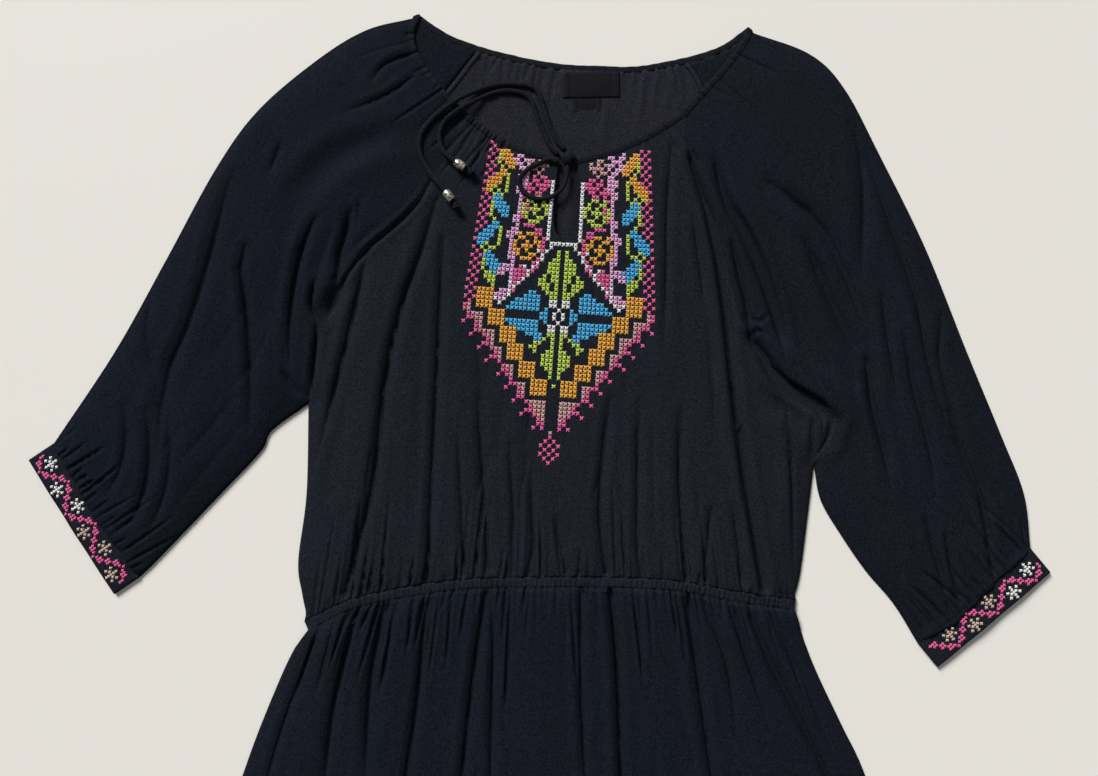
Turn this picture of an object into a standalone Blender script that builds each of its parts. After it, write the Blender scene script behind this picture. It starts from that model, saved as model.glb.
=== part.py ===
"""Peasant tunic laid flat: keyhole neck with beaded ties, raglan sleeves, elastic waist, flared skirt.

The tables are in millimetres and the scene is in metres. The tunic lies on the plane z = 0 with its
neck towards +Y. Left and right are as seen from above. The origin is on the plane, under the middle
of the tunic's box. The back pieces lie on the plane and the front pieces lie over them.
"""
import math
from collections import namedtuple

import bmesh
import bpy
import numpy as np
from mathutils import Vector

MM = 0.001

# Thicknesses and clearances
CLOTH = 1.2
GAP = 0.3
SEAM_INSET = 0.2
FRONT_EDGE = 2 * CLOTH + GAP
FOLD_RADIUS = FRONT_EDGE / 2
FOLD_HOLLOW = GAP / 2

# How the front layer puffs up away from its edges and dips towards the neckline
PUFF = 4.2
PUFF_RUN = 16.0
NECK_DIP = 2.4
NECK_DIP_RUN = 22.0
FOLD_EDGE_RUN = 9.0

# Neck binding and its two shoulder folds
BINDING_WIDTH = 6.5
BINDING_THICK = 1.6
BINDING_RISE = 0.8
PEAK_GAP = 1.2
TURN_GAP = 0.4
PEAK_LEFT = (-112, 399)
PEAK_RIGHT = (197, 386)
BINDING_FRONT_LEFT = [PEAK_LEFT, (-117, 385), (-115, 368), (-103, 345), (-85, 322), (-67, 304)]
BINDING_CENTRE_LEFT = [(-67, 304), (-43, 285), (-16, 271), (19.6, 260)]
BINDING_CENTRE_RIGHT = [(36.4, 260), (69, 269), (100, 283), (134, 304)]
BINDING_FRONT_RIGHT = [(134, 304), (160, 333), (178, 354), (191, 372), PEAK_RIGHT]
BINDING_BACK_LEFT = [PEAK_LEFT, (-96, 387), (-79, 377), (-55, 368)]
BINDING_BACK = [(-55, 368), (-18, 358), (21, 351), (58, 349), (95, 349), (139, 357)]
BINDING_BACK_RIGHT = [(139, 357), (171, 368), PEAK_RIGHT]

# Raglan seams as seen from above, from the neck down to the slit's end and from there to the underarm
RAGLAN_LEFT = ([(-85, 262), (-98, 239), (-121, 209), (-146, 187)], [(-176, 157), (-194, 109), (-205, 38)])
RAGLAN_RIGHT = ([(137, 265), (145, 242), (157, 215), (166, 186)],
                [(183, 114), (203, 82), (235, 49), (264, 31), (266, 14), (247, -17)])
BACK_RAGLAN_LEFT = ([(-73, 343), (-110, 290), (-150, 200)], [(-180, 120), (-205, 38)])
BACK_RAGLAN_RIGHT = ([(152, 335), (185, 250), (205, 180)], [(228, 90), (247, -17)])

# Edges as seen from above, each from the neck downwards
FOLD_LEFT = [(-160, 386), (-205, 357), (-258, 309), (-295, 254), (-337, 170), (-380, 86), (-431.3, 3)]
FOLD_RIGHT = [(253, 363), (284, 330), (315, 266), (353, 181), (387, 86), (415, 10), (433, -42), (436.7, -90)]
UNDERARM_LEFT = [(-237, 14), (-246, -4), (-279, -40), (-334, -99), (-350, -115)]
UNDERARM_RIGHT = [(252, -47), (268, -76), (290, -109), (314, -138), (334, -172)]
SIDE_LEFT = [(-205, 38), (-205, -42), (-211, -101), (-207, -129), (-202, -150)]
SIDE_RIGHT = [(247, -17), (241, -58), (233, -110), (227, -132)]
WAIST = [(-202, -157), (-164, -139), (-122, -129), (-63, -121), (13, -119), (111, -121), (172, -131),
         (227, -139)]
SKIRT_SIDE_LEFT = [(-209, -170), (-222, -197), (-243, -250), (-262, -306), (-290, -388)]
SKIRT_SIDE_RIGHT = [(231, -160), (244, -195), (266, -243), (285, -285), (318, -388)]
HEM = [(-290, -388), (-150, -398), (10, -401.6), (160, -399), (318, -388)]
SLIT_BOTTOM = (25, 186)
SLIT_LEFT = [SLIT_BOTTOM, (16, 196), (15.5, 222), (19, 255.5)]
SLIT_RIGHT = [SLIT_BOTTOM, (34, 197), (39, 222), (37, 255.5)]

# Waist casing, cuffs and labels
CASING_WIDTH = 9.0
CASING_THICK = 2.0
CUFF_WIDTH = 26.0
CUFF_WALL = 1.5
CUFF_PUFF = 1.2
LABEL_SIZE = (53.0, 25.0, 0.6)
LABEL_PLACE = (50.0, 333.5, 2.2)
TAB_SIZE = (28.0, 16.0, 0.4)
TAB_PLACE = (46.0, 315.5, 1.5)
LABEL_TURN = math.radians(1.0)

# How finely the cloth is divided
SLIT_STEPS = 4
RAGLAN_STEPS = 10
SIDE_STEPS = 5
SLEEVE_STEPS = 7
NECK_STEPS = 11
HALF_COLUMNS = 15
WAIST_GATHERS = 44
BACK_COLUMNS = 20
BACK_NECK_STEPS = 20
SLEEVE_BACK_STEPS = 5
CUFF_GATHERS = 15
CUFF_STEPS = 10

# Height of the gathers beside a seam, and how far they run
GATHER_HEIGHT = 0.9
GATHER_ROWS = (0.0, 5.0, 16.0)
GATHER_RUN = 22.4
SLEEVE_NECK_GATHER = 0.4
BACK_GATHER = 0.7
BACK_GATHERS = 20
CASING_CRIMP = 0.5
CASING_SWELL = 0.5
BACK_CASING_TOP = 0.7

# The largest folds of the front: a soft line through three points, half its width, its height
FoldRow = namedtuple("FoldRow", "start middle end width height")
FOLDS = [
    ((-96, 323), (-193, 272), (-256, 190), 26, 3.4),
    ((-128, 290), (-192, 245), (-235, 190), 16, -2.4),
    ((-280, 237), (-302, 162), (-334, 44), 11, -2.6),
    ((-266, 173), (-260, 114), (-255, 46), 11, -2.2),
    ((-206, 205), (-219, 150), (-219, 60), 12, -2.6),
    ((-300, 60), (-325, 0), (-330, -60), 16, 2.6),
    ((-334, 44), (-339, 15), (-369, -68), 10, -2.4),
    ((-156, 158), (-166, 114), (-190, 0), 11, -2.4),
    ((-136, 200), (-141, 60), (-160, -90), 15, 2.4),
    ((-90, 227), (-125, 118), (-158, -120), 11, -2.8),
    ((-85, 187), (-88, 65), (-96, -115), 11, -2.4),
    ((-50, 41), (-45, -58), (-41, -107), 10, -1.8),
    ((65, 41), (56, -48), (61, -111), 10, -1.8),
    ((126, 41), (127, -37), (132, -111), 10, -2.0),
    ((158, 60), (156, -20), (160, -110), 12, 1.8),
    ((177, 41), (184, -15), (198, -122), 10, -2.8),
    ((139, 285), (168, 165), (180, 78), 12, -3.2),
    ((178, 265), (205, 165), (232, 78), 13, -2.6),
    ((205, 270), (238, 180), (270, 90), 20, 3.0),
    ((240, 229), (276, 150), (313, -17), 11, -2.4),
    ((289, 305), (324, 205), (358, 78), 12, -2.2),
    ((330, 130), (352, 40), (372, -60), 18, 2.6),
    ((367, 48), (390, -35), (408, -110), 11, -2.8),
    ((205, 60), (235, 25), (245, 0), 12, 2.2),
    ((-132, -150), (-144, -203), (-150, -300), 12, -2.4),
    ((-97, -162), (-104, -227), (-120, -330), 12, -2.2),
    ((-44, -131), (-55, -203), (-68, -330), 12, -2.2),
    ((0, -140), (0, -240), (-4, -340), 22, 2.4),
    ((65, -129), (71, -200), (75, -340), 11, -3.0),
    ((132, -140), (142, -210), (158, -320), 12, -2.4),
    ((187, -149), (213, -206), (262, -320), 12, -3.0),
    ((165, -160), (190, -240), (220, -340), 17, 2.4),
]

# Ties, beads and knots
TIE_RADIUS = 2.0
TIE_STEP = 8.0
TIE_REST = 2.5
KNOT_PLACE = (28.0, 263.0)
KNOT_RADII = (8.0, 7.0, 4.0)
BEAD_HOLE = TIE_RADIUS + GAP
BEAD_PROFILE = [(BEAD_HOLE, -4.8), (3.4, -4.8), (4.1, -3.4), (4.1, 3.4), (3.4, 4.8), (BEAD_HOLE, 4.8)]
END_KNOT_RADII = (4.4, 3.4, 3.2)
TAIL_LEFT = [(19.6, 266.4), (12, 275), (5, 290), (-1, 305), (-6, 319), (-14, 325), (-30, 327), (-46, 323),
             (-60, 315), (-74, 306), (-84, 297), (-89, 285), (-87, 271), (-79, 261), (-70, 254.5),
             (-63, 250)]
TAIL_RIGHT = [(26, 270.8), (18, 280), (11, 295), (6, 311), (1, 325), (-8, 332), (-30, 333.5), (-48, 330),
              (-65, 322), (-84, 309), (-99, 295), (-107, 281), (-106, 265), (-98, 249), (-88, 236),
              (-80, 226), (-75, 219)]
LOOP = [(20, 258.2), (11, 261), (2, 257), (-9, 251), (-16, 241), (-12, 230), (0, 224), (13, 226),
        (23, 234), (26.5, 244), (27.5, 255.2)]
BEAD_LEFT_AT = (-70, 254.5)
BEAD_RIGHT_AT = (-80, 226)

MATERIALS = {
    "cloth": ((0.012, 0.013, 0.018), 0.0, 0.85),
    "label_satin": ((0.01, 0.01, 0.011), 0.0, 0.5),
    "bead_metal": ((0.62, 0.6, 0.55), 0.9, 0.35),
}


def material(name):
    """The named material, made once."""
    if name in bpy.data.materials:
        return bpy.data.materials[name]
    colour, metallic, roughness = MATERIALS[name]
    made = bpy.data.materials.new(name)
    made.use_nodes = True
    shader = made.node_tree.nodes["Principled BSDF"]
    shader.inputs["Base Color"].default_value = (*colour, 1.0)
    shader.inputs["Metallic"].default_value = metallic
    shader.inputs["Roughness"].default_value = roughness
    return made


def smooth(points, steps):
    """A curve through the points (Catmull-Rom), read at steps + 1 places evenly along it."""
    p = np.array(points, dtype=float)
    p = np.vstack([2 * p[0] - p[1], p, 2 * p[-1] - p[-2]])
    t = np.linspace(0, 1, 16, endpoint=False)[:, None]
    parts = []
    for a, b, c, d in zip(p, p[1:], p[2:], p[3:]):
        parts.append(b + 0.5 * t * (c - a + t * (2 * a - 5 * b + 4 * c - d + t * (3 * (b - c) + d - a))))
    dense = np.vstack(parts + [p[-2:-1]])
    run = np.concatenate([[0], np.cumsum(np.linalg.norm(np.diff(dense, axis=0), axis=1))])
    at = np.linspace(0, run[-1], steps + 1)
    return np.stack([np.interp(at, run, dense[:, k]) for k in range(dense.shape[1])], axis=1)


def along(line, share):
    """The point at a share, 0 to 1, of a polyline's steps."""
    place = min(max(share, 0.0), 1.0) * (len(line) - 1)
    k = min(int(place), len(line) - 2)
    return line[k] + (place - k) * (line[k + 1] - line[k])


def normals(line):
    """Unit vectors to the left of a polyline, one for each point."""
    run = np.gradient(line, axis=0)
    run /= np.linalg.norm(run, axis=1)[:, None]
    return np.stack([-run[:, 1], run[:, 0]], axis=1)


def shifted(line, distance):
    """The polyline moved to its left."""
    return line + normals(line) * distance


def nearest(x, y, line):
    """Distance from a point to a polyline, and the share of it where the nearest place lies."""
    a, run = line[:-1], np.diff(line, axis=0)
    t = np.clip(((x - a[:, 0]) * run[:, 0] + (y - a[:, 1]) * run[:, 1]) / (run ** 2).sum(axis=1), 0, 1)
    d = np.hypot(a[:, 0] + t * run[:, 0] - x, a[:, 1] + t * run[:, 1] - y)
    k = int(d.argmin())
    return d[k], (k + t[k]) / len(run)


def inside(x, y, ring):
    """Whether a point lies inside a closed polyline."""
    ends = np.roll(ring, -1, axis=0)
    spans = (ring[:, 1] > y) != (ends[:, 1] > y)
    a, b = ring[spans], ends[spans]
    return int((x < a[:, 0] + (y - a[:, 1]) * (b[:, 0] - a[:, 0]) / (b[:, 1] - a[:, 1])).sum()) % 2 == 1


def patch(bottom, top, left, right, u, v):
    """The point of a patch between four edges. u runs from left to right, v from bottom to top."""
    across = (1 - v) * along(bottom, u) + v * along(top, u)
    up = (1 - u) * along(left, v) + u * along(right, v)
    corners = (1 - v) * ((1 - u) * bottom[0] + u * bottom[-1]) + v * ((1 - u) * top[0] + u * top[-1])
    return across + up - corners


class Neck:
    """The centre line of the neck binding, from the slit round the back and on to the slit again."""

    def __init__(self):
        self.front_left = smooth(BINDING_FRONT_LEFT, NECK_STEPS)
        self.centre_left = smooth(BINDING_CENTRE_LEFT, HALF_COLUMNS)
        self.centre_right = smooth(BINDING_CENTRE_RIGHT, HALF_COLUMNS)
        self.front_right = smooth(BINDING_FRONT_RIGHT, NECK_STEPS)
        self.back = np.vstack([smooth(BINDING_BACK_LEFT, SLEEVE_BACK_STEPS)[:-1],
                               smooth(BINDING_BACK, BACK_NECK_STEPS)[:-1],
                               smooth(BINDING_BACK_RIGHT, SLEEVE_BACK_STEPS)])
        self.left = np.vstack([self.front_left, self.centre_left[1:]])[::-1]
        self.right = np.vstack([self.centre_right, self.front_right[1:]])
        self.ring = np.vstack([self.left, self.back[1:], self.right[::-1][1:]])
        self.crease_left = self.crease(self.left, self.back)
        self.crease_right = self.crease(self.right, self.back[::-1])
        reach = BINDING_WIDTH / 2 + GAP
        # Edges of the cloth beside the binding, a gap away from it
        left = shifted(self.left, reach)
        right = shifted(self.right, -reach)
        back = shifted(self.back, -reach)
        left[-1] = back[0] = self.left[-1] - self.crease_left * (reach + PEAK_GAP)
        right[-1] = back[-1] = self.right[-1] - self.crease_right * (reach + PEAK_GAP)
        self.sleeve_front_left = left[HALF_COLUMNS:][::-1]
        self.bodice_left = left[:HALF_COLUMNS + 1][::-1]
        self.bodice_right = right[:HALF_COLUMNS + 1]
        self.sleeve_front_right = right[HALF_COLUMNS:][::-1]
        self.sleeve_back_left = back[:SLEEVE_BACK_STEPS + 1][::-1]
        self.bodice_back = back[SLEEVE_BACK_STEPS:-SLEEVE_BACK_STEPS]
        self.sleeve_back_right = back[-SLEEVE_BACK_STEPS - 1:]

    @staticmethod
    def crease(front, back):
        """Direction of the shoulder fold's crease, towards the binding's free edge."""
        come, go = front[-1] - front[-2], back[1] - back[0]
        out = come / np.linalg.norm(come) - go / np.linalg.norm(go)
        out /= np.linalg.norm(out)
        side = np.array([out[1], -out[0]])
        return side if side @ go > 0 else -side


NECK = Neck()


def raglan(top, stretches):
    """A raglan seam from the neck to the underarm, in its two stretches."""
    upper, lower = stretches
    first = smooth([top, *upper], SLIT_STEPS)
    second = smooth([upper[-1], *lower], RAGLAN_STEPS - SLIT_STEPS)
    return np.vstack([first, second[1:]])


RAGLANS = {
    "left": raglan(NECK.bodice_left[0], RAGLAN_LEFT),
    "right": raglan(NECK.bodice_right[-1], RAGLAN_RIGHT),
}
BACK_RAGLANS = {
    "left": raglan(NECK.bodice_back[0], BACK_RAGLAN_LEFT),
    "right": raglan(NECK.bodice_back[-1], BACK_RAGLAN_RIGHT),
}
SIDES = {"left": smooth(SIDE_LEFT, SIDE_STEPS), "right": smooth(SIDE_RIGHT, SIDE_STEPS)}
UNDERARMS = {
    "left": smooth([SIDE_LEFT[0], *UNDERARM_LEFT], SLEEVE_STEPS),
    "right": smooth([SIDE_RIGHT[0], *UNDERARM_RIGHT], SLEEVE_STEPS),
}
OUTER_FOLDS = {
    "left": smooth([NECK.sleeve_front_left[0], *FOLD_LEFT], RAGLAN_STEPS + SLEEVE_STEPS),
    "right": smooth([NECK.sleeve_front_right[0], *FOLD_RIGHT], RAGLAN_STEPS + SLEEVE_STEPS),
}
WAIST_LINE = smooth(WAIST, 2 * WAIST_GATHERS)
BACK_WAIST_LINE = smooth(WAIST, BACK_COLUMNS)
SKIRT_SIDES = {
    "left": smooth(SKIRT_SIDE_LEFT, SIDE_STEPS + 1),
    "right": smooth(SKIRT_SIDE_RIGHT, SIDE_STEPS + 1),
}
HEM_LINE = smooth(HEM, 2 * HALF_COLUMNS)
FOLDED_EDGES = [*OUTER_FOLDS.values(), *UNDERARMS.values(), *SIDES.values(), *SKIRT_SIDES.values(), HEM_LINE]
FOLD_ROWS = [FoldRow(*row) for row in FOLDS]
FOLD_LINES = [(smooth([row.start, row.middle, row.end], 6), row.width, row.height) for row in FOLD_ROWS]


def fold_height(x, y):
    """Height that the large folds add."""
    total = 0.0
    for line, width, height in FOLD_LINES:
        distance, share = nearest(x, y, line)
        ends = min(1.0, 0.25 + 4.0 * share, 0.25 + 4.0 * (1 - share))
        total += height * ends * math.exp(-(distance / width) ** 2)
    return total


def front_top(x, y):
    """Top of the front layer at a point seen from above."""
    edge = min(nearest(x, y, line)[0] for line in FOLDED_EDGES)
    neckline = min(nearest(x, y, NECK.left)[0], nearest(x, y, NECK.right)[0])
    rise = PUFF * (1 - math.exp(-edge / PUFF_RUN))
    rise -= NECK_DIP * math.exp(-neckline / NECK_DIP_RUN) * min(1.0, edge / PUFF_RUN)
    rise += fold_height(x, y) * (1 - math.exp(-edge / FOLD_EDGE_RUN))
    return FRONT_EDGE + max(rise, 0.0)


class Wall:
    """A closed wall of cloth: an outer and an inner point for each place, joined round the rim."""

    def __init__(self, name, slot="cloth"):
        self.name, self.slot = name, slot
        self.outer, self.inner, self.faces = [], [], []

    def add(self, outer, inner):
        """Adds one place and gives its number."""
        self.outer.append(outer)
        self.inner.append(inner)
        return len(self.outer) - 1

    def flat(self, point, top, bottom):
        """Adds a place seen from above, with its two heights."""
        return self.add((*point, top), (*point, bottom))

    def zip(self, row_a, row_b):
        """Joins two rows of (share, number), whatever their counts, with triangles."""
        a = b = 0
        while a < len(row_a) - 1 or b < len(row_b) - 1:
            more_a = a < len(row_a) - 1
            more_b = b < len(row_b) - 1
            if more_a and (not more_b or row_a[a + 1][0] <= row_b[b + 1][0] + 1e-9):
                self.faces.append((row_a[a][1], row_a[a + 1][1], row_b[b][1]))
                a += 1
            else:
                self.faces.append((row_b[b][1], row_a[a][1], row_b[b + 1][1]))
                b += 1

    def build(self):
        """The closed object."""
        count = len(self.outer)
        edges = {(f[k], f[(k + 1) % 3]) for f in self.faces for k in range(3)}
        rim = sorted(e for e in edges if (e[1], e[0]) not in edges)
        faces = list(self.faces) + [(a + count, c + count, b + count) for a, b, c in self.faces]
        for a, b in rim:
            faces.append((b, a, a + count))
            faces.append((b, a + count, b + count))
        return mesh_object(self.name, self.outer + self.inner, faces, self.slot)


def mesh_object(name, points, faces, slot):
    """An object from points in millimetres, its faces turned outwards."""
    mesh = bpy.data.meshes.new(name)
    mesh.from_pydata([tuple(c * MM for c in p) for p in points], [], faces)
    shell = bmesh.new()
    shell.from_mesh(mesh)
    bmesh.ops.recalc_face_normals(shell, faces=shell.faces)
    shell.to_mesh(mesh)
    shell.free()
    mesh.shade_smooth()
    mesh.materials.append(material(slot))
    made = bpy.data.objects.new(name, mesh)
    bpy.context.scene.collection.objects.link(made)
    return made


def front_place(wall, point, lift=0.0):
    """Adds a place of the front layer, raised or lowered by a gather."""
    top = max(front_top(*point) + lift, FRONT_EDGE)
    return wall.flat(point, top, top - CLOTH)


def gathered_rows(wall, place_at, length, gathers):
    """Rows beside a gathered seam, whose ridges and hollows fade away from it.

    place_at(u, v) gives a point and length is the run of v in millimetres.
    """
    rows = []
    for run in GATHER_ROWS:
        fade = 1 - run / GATHER_RUN
        row = []
        for k in range(2 * gathers + 1):
            u = k / (2 * gathers)
            lift = GATHER_HEIGHT * fade * (1 if k % 2 else -1) if 0 < k < 2 * gathers else 0.0
            row.append((u, front_place(wall, place_at(u, run / length), lift)))
        rows.append(row)
    return rows


def side_edge(side, raglans):
    """The bodice's edge from the waist up to the neck, inset along the raglan seam."""
    seam = raglans[side]
    inward = SEAM_INSET if side == "left" else -SEAM_INSET
    return SIDES[side][::-1], shifted(seam, inward)[::-1]


def front_bodice():
    """The front: one panel with the keyhole slit cut down from the neckline."""
    wall = Wall("front_bodice")
    side_left, seam_left = side_edge("left", RAGLANS)
    side_right, seam_right = side_edge("right", RAGLANS)
    low_left = np.vstack([side_left, seam_left[1:-SLIT_STEPS]])
    low_right = np.vstack([side_right, seam_right[1:-SLIT_STEPS]])
    bottom = shifted(WAIST_LINE, CASING_WIDTH / 2 + GAP)
    low_left[0], low_right[0] = bottom[0], bottom[-1]
    middle = np.vstack([smooth([low_left[-1], SLIT_BOTTOM], HALF_COLUMNS),
                        smooth([SLIT_BOTTOM, low_right[-1]], HALF_COLUMNS)[1:]])
    length = np.linalg.norm(middle[HALF_COLUMNS] - bottom[WAIST_GATHERS])

    def low(u, v):
        return patch(bottom, middle, low_left, low_right, u, v)

    rows = gathered_rows(wall, low, length, WAIST_GATHERS)
    shares = np.linspace(0, 1, 2 * HALF_COLUMNS + 1)
    steps = len(low_left) - 1
    for k in range(1, steps + 1):
        rows.append([(u, front_place(wall, low(u, k / steps))) for u in shares])
    for first, second in zip(rows, rows[1:]):
        wall.zip(first, second)
    split = rows[-1]
    above = slice(-SLIT_STEPS - 1, None)
    halves = [
        (split[:HALF_COLUMNS + 1], seam_left[above], smooth(SLIT_LEFT, SLIT_STEPS), NECK.bodice_left),
        (split[HALF_COLUMNS:], smooth(SLIT_RIGHT, SLIT_STEPS), seam_right[above], NECK.bodice_right),
    ]
    for base, left, right, top in halves:
        floor = np.array([wall.outer[number][:2] for _, number in base])
        top = top.copy()
        top[0], top[-1] = left[-1], right[-1]
        previous = [(k / HALF_COLUMNS, number) for k, (_, number) in enumerate(base)]
        for k in range(1, SLIT_STEPS + 1):
            v = k / SLIT_STEPS
            row = []
            for j in range(HALF_COLUMNS + 1):
                u = j / HALF_COLUMNS
                row.append((u, front_place(wall, patch(floor, top, left, right, u, v))))
            wall.zip(previous, row)
            previous = row
    return wall.build()


def front_skirt():
    """The skirt's front, gathered into the casing."""
    wall = Wall("front_skirt")
    top = shifted(WAIST_LINE, -CASING_WIDTH / 2 - GAP)
    left, right = SKIRT_SIDES["left"].copy(), SKIRT_SIDES["right"].copy()
    left[0], right[0] = top[0], top[-1]
    length = np.linalg.norm(top[WAIST_GATHERS] - HEM_LINE[HALF_COLUMNS])

    def place(u, v):
        return patch(top, HEM_LINE, left, right, u, v)

    rows = gathered_rows(wall, place, length, WAIST_GATHERS)
    steps = len(left) - 1
    shares = np.linspace(0, 1, 2 * HALF_COLUMNS + 1)
    for k in range(1, steps + 1):
        rows.append([(u, front_place(wall, place(u, k / steps))) for u in shares])
    for first, second in zip(rows, rows[1:]):
        wall.zip(second, first)
    return wall.build()


def back_bodice():
    """The back: flat on the surface, with the gathers of its neck on the inside that shows."""
    wall = Wall("back_bodice")
    side_left, seam_left = side_edge("left", BACK_RAGLANS)
    side_right, seam_right = side_edge("right", BACK_RAGLANS)
    left = np.vstack([side_left, seam_left[1:]])
    right = np.vstack([side_right, seam_right[1:]])
    bottom = shifted(BACK_WAIST_LINE, CASING_WIDTH / 2 + GAP)
    left[0], right[0] = bottom[0], bottom[-1]
    top = NECK.bodice_back.copy()
    top[0], top[-1] = left[-1], right[-1]
    rows = []
    steps = len(left) - 1
    for k in range(steps):
        row = []
        for u in np.linspace(0, 1, BACK_COLUMNS + 1):
            row.append((u, wall.flat(patch(bottom, top, left, right, u, k / steps), CLOTH, 0.0)))
        rows.append(row)
    for v, height in ((1 - 0.4 / steps, 0.6), (1.0, 1.0)):
        row = []
        for k in range(2 * BACK_GATHERS + 1):
            point = patch(bottom, top, left, right, k / (2 * BACK_GATHERS), v)
            lift = 0.0 if k % 2 or k == 0 or k == 2 * BACK_GATHERS else BACK_GATHER * height
            lift = 0.0 if under_label(point) else lift
            row.append((k / (2 * BACK_GATHERS), wall.flat(point, CLOTH + lift, 0.0)))
        rows.append(row)
    for first, second in zip(rows, rows[1:]):
        wall.zip(first, second)
    return wall.build()


def under_label(point):
    """Whether the label or its tab lies over this point."""
    return abs(point[0] - LABEL_PLACE[0]) < LABEL_SIZE[0] / 2 + 2 and point[1] < 350


def back_skirt():
    """The skirt's back, flat on the surface."""
    wall = Wall("back_skirt")
    top = shifted(BACK_WAIST_LINE, -CASING_WIDTH / 2 - GAP)
    left, right = SKIRT_SIDES["left"].copy(), SKIRT_SIDES["right"].copy()
    left[0], right[0] = top[0], top[-1]
    rows = []
    steps = len(left) - 1
    for k in range(steps + 1):
        row = []
        for u in np.linspace(0, 1, BACK_COLUMNS + 1):
            row.append((u, wall.flat(patch(top, HEM_LINE, left, right, u, k / steps), CLOTH, 0.0)))
        rows.append(row)
    for first, second in zip(rows, rows[1:]):
        wall.zip(second, first)
    return wall.build()


def waist_casing(name, line, low, high, crimp):
    """A strip of the elastic casing. low and high give its two heights at a point."""
    wall = Wall(name)
    rows = []
    for offset, swell in ((-CASING_WIDTH / 2, 0.0), (0.0, CASING_SWELL), (CASING_WIDTH / 2, 0.0)):
        row = []
        for k, point in enumerate(shifted(line, offset)):
            ripple = crimp if k % 2 and 0 < k < len(line) - 1 else 0.0
            row.append((k, wall.flat(point, high(*point) + swell + ripple, low(*point))))
        rows.append(row)
    for first, second in zip(rows, rows[1:]):
        wall.zip(first, second)
    return wall.build()


def sleeve(side):
    """A raglan sleeve: one wall folded along its outer edge, its two flaps meeting under the arm.

    Each row runs from the back seam out to the fold and back in along the front flap. Above the
    underarm the flaps end at the back and front raglan seams, below it they meet at its seam.
    """
    wall = Wall("sleeve_" + side)
    left = side == "left"
    turn = 1 if left else -1
    seam_front = shifted(RAGLANS[side], -turn * SEAM_INSET)
    seam_back = shifted(BACK_RAGLANS[side], -turn * SEAM_INSET)
    front_edge = np.vstack([seam_front, UNDERARMS[side][1:]])
    back_edge = np.vstack([seam_back, UNDERARMS[side][1:]])
    fold = OUTER_FOLDS[side]
    outward = -normals(fold) * turn
    centre = fold - outward * FOLD_RADIUS
    neck_front = NECK.sleeve_front_left if left else NECK.sleeve_front_right
    neck_back = NECK.sleeve_back_left if left else NECK.sleeve_back_right
    centre[0] = neck_front[0]
    steps = len(fold) - 1
    length = np.linalg.norm(np.diff(fold, axis=0), axis=1).sum()

    def front_point(t, v):
        chord = (1 - t) * along(centre, v) + t * along(front_edge, v)
        bulge = along(neck_front, t) - ((1 - t) * neck_front[0] + t * neck_front[-1])
        return chord + bulge * max(0.0, 1 - 3 * v) ** 2

    def back_point(t, v):
        chord = (1 - t) * along(back_edge, v) + t * along(centre, v)
        bulge = along(neck_back, t) - ((1 - t) * neck_back[0] + t * neck_back[-1])
        return chord + bulge * max(0.0, 1 - 3 * v) ** 2

    def row_at(v, shares, crimp):
        row = []
        for k in range(SLEEVE_BACK_STEPS):
            t = k / SLEEVE_BACK_STEPS
            point = back_point(t, v)
            row.append((0.3 * t, wall.add((*point, 0.0), (*point, CLOTH))))
        middle, out = along(centre, v), along(outward, v)
        for k, angle in enumerate((-90, -40, 10, 60)):
            c, s = math.cos(math.radians(angle)), math.sin(math.radians(angle))
            outer = (*(middle + out * c * FOLD_RADIUS), FOLD_RADIUS * (1 + s))
            inner = (*(middle + out * c * FOLD_HOLLOW), FOLD_RADIUS + FOLD_HOLLOW * s)
            row.append((0.3 + 0.02 * k, wall.add(outer, inner)))
        for k, t in enumerate(shares):
            point = front_point(t, v)
            lift = crimp * (1 if k % 2 else -1) if 0 < k < len(shares) - 1 else 0.0
            top = FRONT_EDGE if k == 0 else max(front_top(*point) + lift, FRONT_EDGE)
            row.append((0.38 + 0.62 * t, wall.add((*point, top), (*point, top - CLOTH))))
        return row

    spread = [0.0, 0.035, 0.09] + [0.16 + 0.84 * k / 9 for k in range(10)]
    even = [k / NECK_STEPS for k in range(NECK_STEPS + 1)]
    fine = [k / (2 * CUFF_GATHERS) for k in range(2 * CUFF_GATHERS + 1)]
    rows = [row_at(0.0, even, SLEEVE_NECK_GATHER)]
    rows += [row_at(k / steps, spread, 0.0) for k in range(1, steps)]
    for run in reversed(GATHER_ROWS):
        rows.append(row_at(1 - run / length, fine, GATHER_HEIGHT * (1 - run / GATHER_RUN)))
    for first, second in zip(rows, rows[1:]):
        wall.zip(first, second)
    return wall.build()


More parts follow.
